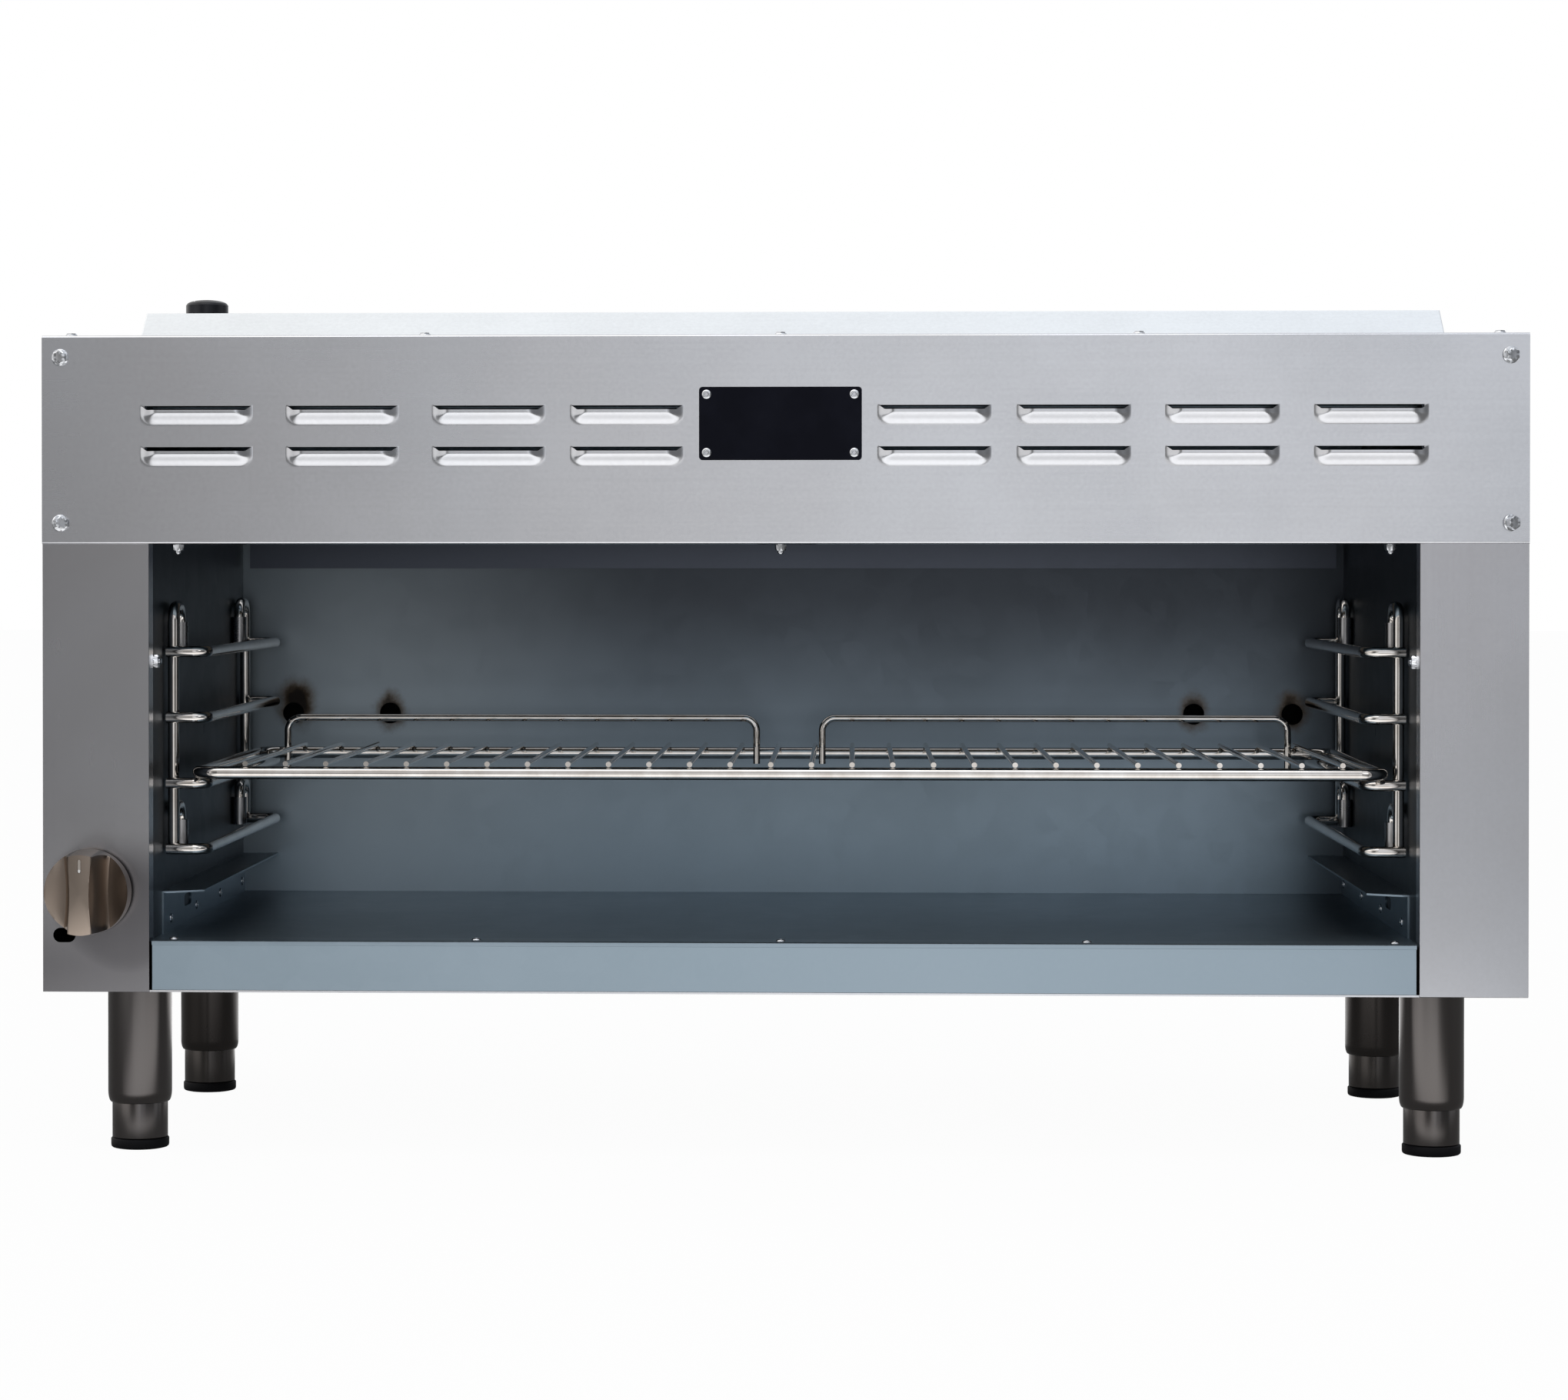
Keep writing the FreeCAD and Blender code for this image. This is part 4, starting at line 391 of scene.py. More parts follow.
def softened(name, node, bendRadius=0.0018, cutRadius=0.00025, shortest=0.004, smooth=35):
    # a copy of a sheet metal node with rounded folds and eased cut edges
    work = bmesh.new()
    work.from_mesh(nodes[node].data)
    bmesh.ops.remove_doubles(work, verts=work.verts, dist=2e-6)
    bmesh.ops.dissolve_limit(work, angle_limit=math.radians(0.6), verts=work.verts, edges=work.edges)
    weight = work.edges.layers.float.new("bevel_weight_edge")
    wide = {face.index: 2 * face.calc_area() / face.calc_perimeter() > 1.8 * gauge for face in work.faces}
    for edge in work.edges:
        if len(edge.link_faces) != 2 or edge.calc_face_angle(0) < math.radians(28) or edge.calc_length() < shortest:
            continue
        if all(wide[face.index] for face in edge.link_faces):
            radius = bendRadius if edge.is_convex else max(bendRadius - gauge, cutRadius)
        else:
            radius = cutRadius if edge.is_convex else 0.0
        edge[weight] = radius / bendRadius
    mesh = bpy.data.meshes.new(name)
    work.to_mesh(mesh)
    work.free()
    mesh.materials.append(finishOf(node))
    piece = bpy.data.objects.new(name, mesh)
    scene.collection.objects.link(piece)
    ease = piece.modifiers.new("ease", "BEVEL")
    ease.width = bendRadius
    ease.segments = 3
    ease.limit_method = "WEIGHT"
    ease.use_clamp_overlap = True
    plainMesh(piece)
    return stand(evened(piece, smooth), node)


def turnedMesh(name, profile, steps, material, smooth=40):
    # profile is (radius, along) pairs, turned about Z
    points, faces = [], []
    for radius, along in profile:
        for step in range(steps):
            angle = 2 * math.pi * step / steps
            points.append((radius * math.cos(angle), radius * math.sin(angle), along))
    for row in range(len(profile) - 1):
        for step in range(steps):
            after = (step + 1) % steps
            faces.append((row * steps + step, row * steps + after, (row + 1) * steps + after, (row + 1) * steps + step))
    faces.append(tuple(range(steps)))
    faces.append(tuple(reversed(range((len(profile) - 1) * steps, len(profile) * steps))))
    return meshPiece(name, points, faces, material, smooth)


def repeater():
    # one source on every point, each turned as its point says
    tree = bpy.data.node_groups.new("repeatOnPoints", "GeometryNodeTree")
    sockets = {}
    for title, kind in (("Points", "NodeSocketGeometry"), ("Source", "NodeSocketObject"),
                        ("Finish", "NodeSocketMaterial"), ("Size", "NodeSocketFloat")):
        sockets[title] = tree.interface.new_socket(title, in_out="INPUT", socket_type=kind).identifier
    tree.interface.new_socket("Result", in_out="OUTPUT", socket_type="NodeSocketGeometry")
    start = tree.nodes.new("NodeGroupInput")
    source = tree.nodes.new("GeometryNodeObjectInfo")
    turn = tree.nodes.new("GeometryNodeInputNamedAttribute")
    turn.data_type = "FLOAT_VECTOR"
    turn.inputs["Name"].default_value = "turn"
    euler = tree.nodes.new("FunctionNodeEulerToRotation")
    place = tree.nodes.new("GeometryNodeInstanceOnPoints")
    real = tree.nodes.new("GeometryNodeRealizeInstances")
    finish = tree.nodes.new("GeometryNodeSetMaterial")
    end = tree.nodes.new("NodeGroupOutput")
    for first, second in (
            (start.outputs["Points"], place.inputs["Points"]), (start.outputs["Source"], source.inputs["Object"]),
            (source.outputs["Geometry"], place.inputs["Instance"]), (turn.outputs[0], euler.inputs[0]),
            (euler.outputs[0], place.inputs["Rotation"]), (start.outputs["Size"], place.inputs["Scale"]),
            (place.outputs[0], real.inputs[0]), (real.outputs[0], finish.inputs["Geometry"]),
            (start.outputs["Finish"], finish.inputs["Material"]), (finish.outputs[0], end.inputs[0])):
        tree.links.new(first, second)
    return tree, sockets


repeatTree, repeatSockets = repeater()
facingFront = (math.pi / 2, 0, 0)          # the source's own Z points along -Y
facingBack = (-math.pi / 2, 0, 0)
facingUp = (0, 0, 0)
facingRight = (0, math.pi / 2, 0)
facingLeft = (0, -math.pi / 2, 0)


def repeated(name, source, places, material, smooth=40):
    mesh = bpy.data.meshes.new(name)
    mesh.from_pydata([place for place, turn in places], [], [])
    turns = mesh.attributes.new("turn", "FLOAT_VECTOR", "POINT")
    turns.data.foreach_set("vector", [number for place, turn in places for number in turn])
    piece = bpy.data.objects.new(name, mesh)
    scene.collection.objects.link(piece)
    spread = piece.modifiers.new("repeat", "NODES")
    spread.node_group = repeatTree
    spread[repeatSockets["Source"]] = source
    spread[repeatSockets["Finish"]] = material
    spread[repeatSockets["Size"]] = 1.0
    plainMesh(piece)
    rounded(piece.data, smooth)
    bpy.data.objects.remove(source)
    return piece


def stand(piece, node, *others):
    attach(piece, bodyOf[node])
    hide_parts(node, *others)
    return piece


# louvered front panel: one grid, pressed out where a louver stands and slit along its top

louver = {
    "columns": [0.0945, 0.1798, 0.2704, 0.3610], "rows": [0.0436, 0.0690],     # middle and slit below the top
    "long": 0.0692, "tall": 0.0118, "proud": 0.0046, "lipDrop": 0.0026, "foot": 0.0088, "end": 0.0092,
    "corner": 0.0075, "border": 0.0006, "alongSteps": 54, "upSteps": 12, "bend": 0.0016, "topFold": 0.022,
}


def pressed(across, rise):
    # how far the sheet stands out, 0 to 1, at a point of the louver; rise runs from its foot to its slit
    halfLong = louver["long"] / 2
    inside = halfLong - abs(across)
    corner = louver["corner"]
    if inside < corner and rise < corner:
        reach = corner - math.hypot(corner - inside, corner - rise)
        share = reach / (louver["foot"] * 0.5 + louver["end"] * 0.5)
        share = min(share, inside / louver["end"], rise / louver["foot"])
    else:
        share = min(inside / louver["end"], rise / louver["foot"])
    share = max(0.0, min(1.0, share))
    eased = share * share * (3 - 2 * share)
    return 0.45 * eased + 0.55 * share if share < 1 else 1.0


def louveredPanel():
    halfLong = louver["long"] / 2
    xLines, zLines = {-halfWide, halfWide}, set()
    middles = sorted([-x for x in louver["columns"]] + louver["columns"])
    for middle in middles:
        for step in range(louver["alongSteps"] + 1):
            xLines.add(round(middle - halfLong + louver["long"] * step / louver["alongSteps"], 7))
        xLines |= {round(middle - halfLong - louver["border"], 7), round(middle + halfLong + louver["border"], 7)}
    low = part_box("front_panel")[0].z
    slits = [topZ - drop for drop in louver["rows"]]
    for slit in slits:
        for step in range(louver["upSteps"] + 1):
            zLines.add(round(slit - louver["tall"] * (1 - step / louver["upSteps"]), 7))
        zLines |= {round(slit - louver["tall"] - louver["border"], 7), round(slit + louver["border"], 7)}
    bend = louver["bend"]
    xs, zs = sorted(xLines), sorted(zLines)
    points, faces, index = [], [], {}

    def shape(x, z, lowerEdge):
        # place of a grid point; lowerEdge is the hood's side of a slit
        y = front
        for middle in middles:
            if abs(x - middle) < halfLong - 1e-7:
                for slit in slits:
                    rise = z - (slit - louver["tall"])
                    if -1e-9 <= rise < louver["tall"] - 1e-6 or (abs(z - slit) < 1e-6 and lowerEdge):
                        share = pressed(x - middle, rise)
                        drop = louver["lipDrop"] * min(1.0, 2.4 * share) * (rise / louver["tall"]) ** 2
                        return (x, y - louver["proud"] * share, z - drop)
        return (x, y, z)

    def corner(column, row, lowerEdge):
        x, z = xs[column], zs[row]
        slitHere = any(abs(z - slit) < 1e-6 for slit in slits) and any(abs(x - m) < halfLong - 1e-7 for m in middles)
        key = (column, row, lowerEdge and slitHere)
        if key not in index:
            index[key] = len(points)
            points.append(shape(x, z, lowerEdge))
        return index[key]

    for row in range(len(zs) - 1):
        for column in range(len(xs) - 1):
            faces.append((corner(column, row, False), corner(column + 1, row, False),
                          corner(column + 1, row + 1, True), corner(column, row + 1, True)))

    # folds above and below the louvers, with their bends
    def strip(profile):
        rows = []
        for y, z in profile:
            rows.append([len(points) + i for i in range(len(xs))])
            points.extend((x, y, z) for x in xs)
        return rows

    def join(rows):
        for below, above in zip(rows, rows[1:]):
            for column in range(len(xs) - 1):
                faces.append((below[column], below[column + 1], above[column + 1], above[column]))

    arc = [(math.sin(a), math.cos(a)) for a in [math.pi / 2 * i / 5 for i in range(6)]]
    top = [(front, topZ - bend)] + [(front + bend - bend * c, topZ - bend + bend * s) for s, c in arc[1:]]
    top.append((front + louver["topFold"], topZ))
    under = [(front, low + bend)] + [(front + bend - bend * c, low + bend - bend * s) for s, c in arc[1:]]
    under.append((front + 0.006, low))
    ends = [[corner(column, len(zs) - 1, False) for column in range(len(xs))]]
    join(ends + strip(top))
    starts = [[corner(column, 0, False) for column in range(len(xs))]]
    join(starts + strip(under))
    piece = meshPiece("louveredPanel", points, faces, finishes["stainless_brushed"], 30)
    thicken = piece.modifiers.new("thicken", "SOLIDIFY")
    thicken.thickness = gauge
    thicken.offset = -1.0
    thicken.use_even_offset = False
    plainMesh(piece)
    return stand(evened(piece, 30), "front_panel")


louveredPanel()
print("louvered panel")
# folded sheets with their bends

folds = {
    "left_side_panel": 0.0018, "right_side_panel": 0.0018, "front_rail": 0.0016, "flue_riser": 0.0016,
    "top_cover": 0.0016, "back_panel": 0.0016, "left_floor_bracket": 0.0016, "right_floor_bracket": 0.0016,
    "heat_shield": 0.0016,
}
for node, bend in folds.items():
    made = softened(node.replace("_", " ").title().replace(" ", "") + "Sheet", node, bend)
    if node == "back_panel":
        made.data.materials.append(finishes["inner_dark"])    # its inner face, seen through the vent holes, is near black: painted shade
        for face in made.data.polygons:
            if face.normal.y < -0.5:
                face.material_index = 1
    print("softened", node, len(made.data.polygons))

# screws, nuts and rivets


def hexReach(apothem, clip):
    # radius of a hexagon at an angle, cut back to a circle where it is chamfered
    def reach(angle):
        return min(clip, apothem / math.cos((angle + math.pi / 6) % (math.pi / 3) - math.pi / 6))
    return reach


def stacked(name, rings, material, steps=48, smooth=30):
    points, faces = [], []
    for reach, along in rings:
        for step in range(steps):
            angle = 2 * math.pi * step / steps
            radius = reach(angle) if callable(reach) else reach
            points.append((radius * math.cos(angle), radius * math.sin(angle), along))
    for row in range(len(rings) - 1):
        for step in range(steps):
            after = (step + 1) % steps
            faces.append((row * steps + step, row * steps + after, (row + 1) * steps + after, (row + 1) * steps + step))
    faces.append(tuple(range(steps)))
    faces.append(tuple(range((len(rings) - 1) * steps, len(rings) * steps)))
    return meshPiece(name, points, faces, material, smooth)


def hexScrew(name, flange, apothem, tall, shank, deep):
    corner = apothem / math.cos(math.pi / 6)
    return stacked(name, [
        (shank, -deep), (shank, 0.0), (flange, 0.0), (flange, 0.0004), (flange * 0.93, 0.0009),
        (hexReach(apothem, corner), 0.0012), (hexReach(apothem, corner), tall * 0.80),
        (hexReach(apothem, corner * 0.94), tall * 0.93), (apothem * 0.88, tall), (apothem * 0.45, tall * 0.985),
    ], finishes["fastener_zinc"])


def popRivet(name, head, proud, shank, deep):
    return stacked(name, [
        (shank, -deep), (shank, 0.0), (head, 0.0), (head * 0.99, proud * 0.30), (head * 0.88, proud * 0.70),
        (head * 0.66, proud * 0.97), (head * 0.52, proud), (head * 0.40, proud * 0.92), (head * 0.34, proud * 0.6),
        (head * 0.33, -deep * 0.55),
    ], finishes["fastener_zinc"], 32)


fastener = {
    "boltSide": 0.0115, "boltTop": 0.0136, "boltLow": 0.013, "boltFlange": 0.0053, "boltApothem": 0.0039,
    "boltTall": 0.0045, "rivetHead": 0.0030, "rivetProud": 0.0010,
    "screwFlange": 0.0038, "screwApothem": 0.0028, "screwTall": 0.0019,
}
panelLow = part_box("front_panel")[0].z
boltX = halfWide - fastener["boltSide"]
bolt = hexScrew("boltSource", fastener["boltFlange"], fastener["boltApothem"], fastener["boltTall"], 0.0025, 0.008)
stand(repeated("cornerBolts", bolt, [((x, front, z), (math.pi / 2, 0, turn)) for x, z, turn in (
    (-boltX, topZ - fastener["boltTop"], 0.0), (-boltX, panelLow + fastener["boltLow"], 0.35),
    (boltX, topZ - fastener["boltTop"], 0.2), (boltX, panelLow + fastener["boltLow"], 0.5))],
    finishes["fastener_zinc"], 30), "panel_bolts")

low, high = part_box("nameplate")
inset = 0.0046
rivetSource = popRivet("rivetSource", fastener["rivetHead"], fastener["rivetProud"], 0.0016, 0.0022)
stand(repeated("plateRivets", rivetSource, [((x, low.y, z), facingFront) for x in (low.x + inset, high.x - inset)
      for z in (low.z + inset, high.z - inset)], finishes["fastener_zinc"]), "nameplate_rivets")


def spotsOf(node):
    # the middle of every loose solid of a node
    work = bmesh.new()
    work.from_mesh(nodes[node].data)
    bmesh.ops.remove_doubles(work, verts=work.verts, dist=2e-6)
    left, spots = set(work.verts), []
    while left:
        group, queue = set(), [left.pop()]
        while queue:
            vert = queue.pop()
            group.add(vert)
            for edge in vert.link_edges:
                other = edge.other_vert(vert)
                if other in left:
                    left.discard(other)
                    queue.append(other)
        lows = [min(vert.co[i] for vert in group) for i in range(3)]
        highs = [max(vert.co[i] for vert in group) for i in range(3)]
        spots.append([(a + b) / 2 for a, b in zip(lows, highs)])
    work.free()
    return sorted(spots)


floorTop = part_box("front_rail")[1].z
rivetSource = popRivet("rivetSource", fastener["rivetHead"], fastener["rivetProud"], 0.0016, 0.0030)
stand(repeated("railRivets", rivetSource, [((x, y, floorTop), facingUp) for x, y, z in spotsOf("floor_rivets")],
               finishes["fastener_zinc"]), "floor_rivets")
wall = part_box("left_floor_bracket")[0].x + gauge
rivetSource = popRivet("rivetSource", fastener["rivetHead"], fastener["rivetProud"], 0.0016, 0.0030)
stand(repeated("bracketRivets", rivetSource, [
    ((math.copysign(-wall, x), y, z), facingRight if x < 0 else facingLeft)
    for x, y, z in spotsOf("bracket_rivets")], finishes["fastener_zinc"]), "bracket_rivets")
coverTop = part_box("top_screws")[1].z - fastener["screwTall"]
screw = hexScrew("screwSource", fastener["screwFlange"], fastener["screwApothem"], fastener["screwTall"], 0.002, 0.004)
stand(repeated("coverScrews", screw, [((x, y, coverTop), facingUp) for x, y, z in spotsOf("top_screws")],
               finishes["fastener_zinc"], 30), "top_screws")
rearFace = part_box("back_screws")[1].y - fastener["screwTall"]
screw = hexScrew("screwSource", fastener["screwFlange"], fastener["screwApothem"], fastener["screwTall"], 0.002, 0.004)
stand(repeated("rearScrews", screw, [((x, rearFace, z), facingBack) for x, y, z in spotsOf("back_screws")],
               finishes["fastener_zinc"], 30), "back_screws")

nut = {"apothem": 0.0040, "thick": 0.0040, "stud": 0.0024, "proud": 0.0016}
corner = nut["apothem"] / math.cos(math.pi / 6)
thread = []
for turn in range(3):
    thread += [(nut["stud"], nut["thick"] + turn * 0.0005), (nut["stud"] * 0.86, nut["thick"] + (turn + 0.5) * 0.0005)]
nutSource = stacked("nutSource", [
    (nut["stud"], -0.0024), (nut["stud"], 0.0), (corner * 0.92, 0.0), (hexReach(nut["apothem"], corner), 0.0004),
    (hexReach(nut["apothem"], corner), nut["thick"] - 0.0005), (corner * 0.90, nut["thick"]),
    (nut["stud"] * 1.1, nut["thick"] - 0.0002)] + thread + [(nut["stud"] * 0.7, nut["thick"] + nut["proud"])],
    finishes["fastener_zinc"])
nuts = spotsOf("side_nuts")
wallX = min(abs(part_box("side_nuts")[0].x), 1.0) - 2 * gauge
stand(repeated("sideNuts", nutSource, [((math.copysign(wallX, x), y, z), facingRight if x < 0 else facingLeft)
                                       for x, y, z in nuts], finishes["fastener_zinc"], 30), "side_nuts")
print("fasteners")

# control knob: a cone with a long hollow on each side of a waisted grip, and an inlaid pointer

knob = {
    "profile": [(0.0257, 0.0), (0.0263, 0.0006), (0.0263, 0.0030), (0.0260, 0.0120), (0.0246, 0.0336), (0.0200, 0.0342),
                (0.0100, 0.03485), (0.0002, 0.0350)],
    "gripEnd": 0.0150, "gripWaist": 0.0116, "gripLong": 0.0490, "stations": 24, "span": 0.030,
    "hollow": [(0.0000, 0.0370), (0.0003, 0.0320), (0.0009, 0.0260), (0.0019, 0.0200), (0.0034, 0.0145),
               (0.0052, 0.0105), (0.0072, 0.0086), (0.0130, 0.0102), (0.0190, 0.0126), (0.0240, 0.0152),
               (0.0240, 0.0370)],
    "face": 0.0345,      # height of the grip where the pointer is cut in
    "pointerLong": 0.0085, "pointerWide": 0.0024, "pointerDeep": 0.0014, "pointerInset": 0.0024,
    "pointerFill": 0.72, "spot": 0.0008,
}
knobLow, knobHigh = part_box("control_knob")
knobX, knobZ, knobSeat = (knobLow.x + knobHigh.x) / 2, (knobLow.z + knobHigh.z) / 2, knobHigh.y


def carved(piece, tool):
    work = piece.modifiers.new("carve", "BOOLEAN")
    work.operation = "DIFFERENCE"
    work.solver = "EXACT"
    work.object = tool
    plainMesh(piece)
    bpy.data.objects.remove(tool)


def prism(name, ring, low, high, material):
    count = len(ring)
    points = [(x, y, along) for along in (low, high) for x, y in ring]
    faces = [(i, (i + 1) % count, count + (i + 1) % count, count + i) for i in range(count)]
    faces += [tuple(range(count)), tuple(range(count, 2 * count))]
    return meshPiece(name, points, faces, material, 30)


def seated(piece):
    # from its own axis along Z to its place on the panel, facing the front
    turn = Matrix.Rotation(math.pi / 2, 4, "X")
    piece.data.transform(Matrix.Translation((knobX, knobSeat, knobZ)) @ turn)
    return piece


shell = turnedMesh("controlKnobShell", knob["profile"], 128, finishes["knob_turned"], 30)
for side in (-1, 1):
    points, faces, around = [], [], len(knob["hollow"])
    for station in range(knob["stations"] + 1):
        along = knob["span"] * (2 * station / knob["stations"] - 1)
        share = min(1.0, abs(along) / (knob["gripLong"] / 2))
        half = knob["gripWaist"] / 2 + (knob["gripEnd"] - knob["gripWaist"]) / 2 * share ** 1.8
        points += [(side * (half + away), along, height) for away, height in knob["hollow"]]
    for station in range(knob["stations"]):
        for i in range(around):
            after = (i + 1) % around
            faces.append((station * around + i, station * around + after, (station + 1) * around + after,
                          (station + 1) * around + i))
    faces += [tuple(range(around)), tuple(range(knob["stations"] * around, (knob["stations"] + 1) * around))]
    carved(shell, meshPiece("hollow", points, faces, finishes["knob_nickel"], 30))
halfLong, halfSlot = knob["pointerLong"] / 2, knob["pointerWide"] / 2
slotRing = [(halfSlot * math.cos(math.pi * i / 12), halfLong - halfSlot + halfSlot * math.sin(math.pi * i / 12))
            for i in range(13)]
slotRing += [(-x, -y) for x, y in slotRing]
pointerAt = knob["gripLong"] / 2 - knob["pointerInset"] - halfLong
top = knob["face"]
carved(shell, prism("recess", [(x, y + pointerAt) for x, y in slotRing], top - knob["pointerDeep"], top + 0.002,
                    finishes["knob_nickel"]))
ease = shell.modifiers.new("ease", "BEVEL")
ease.width = 0.0006
ease.segments = 2
ease.limit_method = "ANGLE"
ease.angle_limit = math.radians(33)
ease.use_clamp_overlap = True
plainMesh(shell)
stand(seated(evened(shell, 36)), "control_knob")
fill = knob["pointerFill"]
pointer = prism("pointerFill", [(x * fill, y * (0.85 + 0.15 * fill) + pointerAt) for x, y in slotRing],
                top - knob["pointerDeep"] - 0.0004, top - knob["pointerDeep"] * 0.3, finishes["pointer_metal"])
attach(seated(pointer), bodyOf["control_knob"])
spotAt = pointerAt - halfLong + halfSlot
spotRing = [(knob["spot"] * math.cos(math.pi * i / 10),
             spotAt + knob["spot"] * 1.3 * math.sin(math.pi * i / 10)) for i in range(20)]
spot = prism("pointerSpot", spotRing, top - knob["pointerDeep"], top - knob["pointerDeep"] * 0.2,
             finishes["pointer_white"])
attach(seated(spot), bodyOf["control_knob"])
print("knob", len(shell.data.polygons))

# legs: rounded outer tube, thinner foot tube that screws in it, and a rubber pad

leg = {
    "outer": 0.0200, "foot": 0.0174, "shoulder": 0.0070, "steps": 72,
    "pad": 0.0182, "padRound": 0.0020, "bore": 0.0180,
}
for corner in ("front_left", "front_right", "rear_left", "rear_right"):
    low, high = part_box("leg_tube_" + corner)
    middle = Vector(((low.x + high.x) / 2, (low.y + high.y) / 2, 0.0))
    arc = [(math.sin(a), math.cos(a)) for a in [math.pi / 2 * i / 8 for i in range(9)]]
    shoulder = leg["shoulder"]
    inner = leg["outer"] - leg["bore"]
    drop = [(leg["outer"] - inner + inner * c, low.z + shoulder - shoulder * s) for s, c in arc]
    tube = turnedMesh("legTube" + corner.title().replace("_", ""), [
        (leg["bore"] - 0.0004, high.z), (leg["outer"], high.z)] + drop + [
        (leg["bore"], low.z + 0.0004), (leg["bore"], high.z - 0.002)], leg["steps"], finishOf("leg_tube_" + corner), 40)
    tube.data.transform(Matrix.Translation(middle))
    stand(tube, "leg_tube_" + corner)
    low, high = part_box("leg_foot_" + corner)
    foot = turnedMesh("footTube" + corner.title().replace("_", ""), [
        (leg["foot"] - 0.0014, high.z), (leg["foot"] - 0.0003, high.z), (leg["foot"], high.z - 0.0004),
        (leg["foot"], low.z + 0.0006), (leg["foot"] - 0.0006, low.z), (leg["foot"] - 0.0014, low.z)],
        leg["steps"], finishOf("leg_foot_" + corner), 40)
    foot.data.transform(Matrix.Translation(middle))
    stand(foot, "leg_foot_" + corner)
    low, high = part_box("foot_pad_" + corner)
    curve = leg["padRound"]
    pad = turnedMesh("footPad" + corner.title().replace("_", ""), [
        (leg["pad"] - curve * 1.2, low.z), (leg["pad"] - curve * 0.45, low.z + curve * 0.18),
        (leg["pad"] - curve * 0.10, low.z + curve * 0.50), (leg["pad"], low.z + curve * 1.0),
        (leg["pad"], high.z - 0.0008), (leg["pad"] - 0.0006, high.z - 0.0001), (leg["foot"] - 0.002, high.z)],
        leg["steps"], finishes["foot_rubber"], 50)
    pad.data.transform(Matrix.Translation(middle))
    stand(pad, "foot_pad_" + corner)
print("legs")

# ceiling screws: their nuts show under the hood's lower edge

ceilingNut = {"apothem": 0.0033, "thick": 0.0036, "tip": 0.0019, "ring": 0.0026, "gap": 0.0004, "head": 0.0038}
low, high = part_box("ceiling_screws")
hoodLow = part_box("front_panel")[0].z
corner = ceilingNut["apothem"] / math.cos(math.pi / 6)
tipSource = stacked("tipSource", [
    (0.0006, hoodLow - low.z), (ceilingNut["tip"] * 0.8, hoodLow - low.z - 0.0004),
    (ceilingNut["tip"], hoodLow - low.z - 0.0010),
    (ceilingNut["tip"], ceilingNut["thick"] + ceilingNut["gap"] + 0.0001),
    (corner * 0.80, ceilingNut["thick"] + ceilingNut["gap"]),
    (hexReach(ceilingNut["apothem"] * 0.93, corner * 0.90), ceilingNut["thick"] + ceilingNut["gap"] - 0.0005),
    (hexReach(ceilingNut["apothem"], corner), ceilingNut["gap"] + 0.0006),
    (hexReach(ceilingNut["apothem"], corner), ceilingNut["gap"]), (ceilingNut["ring"], ceilingNut["gap"]),
    (ceilingNut["ring"], 0.0), (ceilingNut["tip"], 0.0), (ceilingNut["tip"], hoodLow - high.z + 0.0030),
    (ceilingNut["head"], hoodLow - high.z + 0.0028), (ceilingNut["head"] * 0.9, hoodLow - high.z + 0.0008),
    (ceilingNut["head"] * 0.4, hoodLow - high.z)], finishes["fastener_zinc"], 48, 25)
stand(repeated("ceilingScrews", tipSource,
               [((x, y, hoodLow), (math.pi, 0, 0.26)) for x, y, z in spotsOf("ceiling_screws")],
               finishes["fastener_zinc"], 25), "ceiling_screws")

# vent cap of the regulator: a flat rim round a low dome with a vent cut in it

cap = {"rimTall": 0.0083, "edge": 0.0003, "domeInset": 0.0005, "notchAt": -0.0097, "notchWide": 0.0024,
       "notchDeep": 0.0026, "notchLean": 0.0022, "rows": 12}
low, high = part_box("regulator_cap")
capRound = (high.x - low.x) / 2
middle = Vector(((low.x + high.x) / 2, (low.y + high.y) / 2, 0.0))
rimTop = low.z + cap["rimTall"]
dome = []
for row in range(cap["rows"] + 1):
    share = row / cap["rows"]
    dome.append(((capRound - cap["domeInset"]) * math.cos(share * math.pi / 2 * 0.985),
                 rimTop + (high.z - rimTop) * math.sin(share * math.pi / 2)))
capMesh = turnedMesh("ventCap", [
    (capRound * 0.9, low.z), (capRound - cap["edge"], low.z), (capRound, low.z + cap["edge"]),
    (capRound, rimTop - cap["edge"]), (capRound - cap["edge"], rimTop)] + dome, 96, finishes["black_plastic"], 32)
wedge = [(cap["notchAt"] - cap["notchWide"] / 2 - 0.0010, high.z + 0.001),
         (cap["notchAt"] + cap["notchWide"] / 2, high.z + 0.001),
         (cap["notchAt"] + cap["notchLean"], high.z - cap["notchDeep"])]
points = [(x, y, z) for y in (-0.03, 0.03) for x, z in wedge]
carved(capMesh, meshPiece("ventNotch", points, [(0, 1, 4, 3), (1, 2, 5, 4), (2, 0, 3, 5), (0, 2, 1), (3, 4, 5)],
                          finishes["black_plastic"], 30))
capMesh.data.transform(Matrix.Translation(middle))
rounded(capMesh.data, 32)
stand(capMesh, "regulator_cap")
print("ceiling screws and vent cap")

# floor, lamps and world

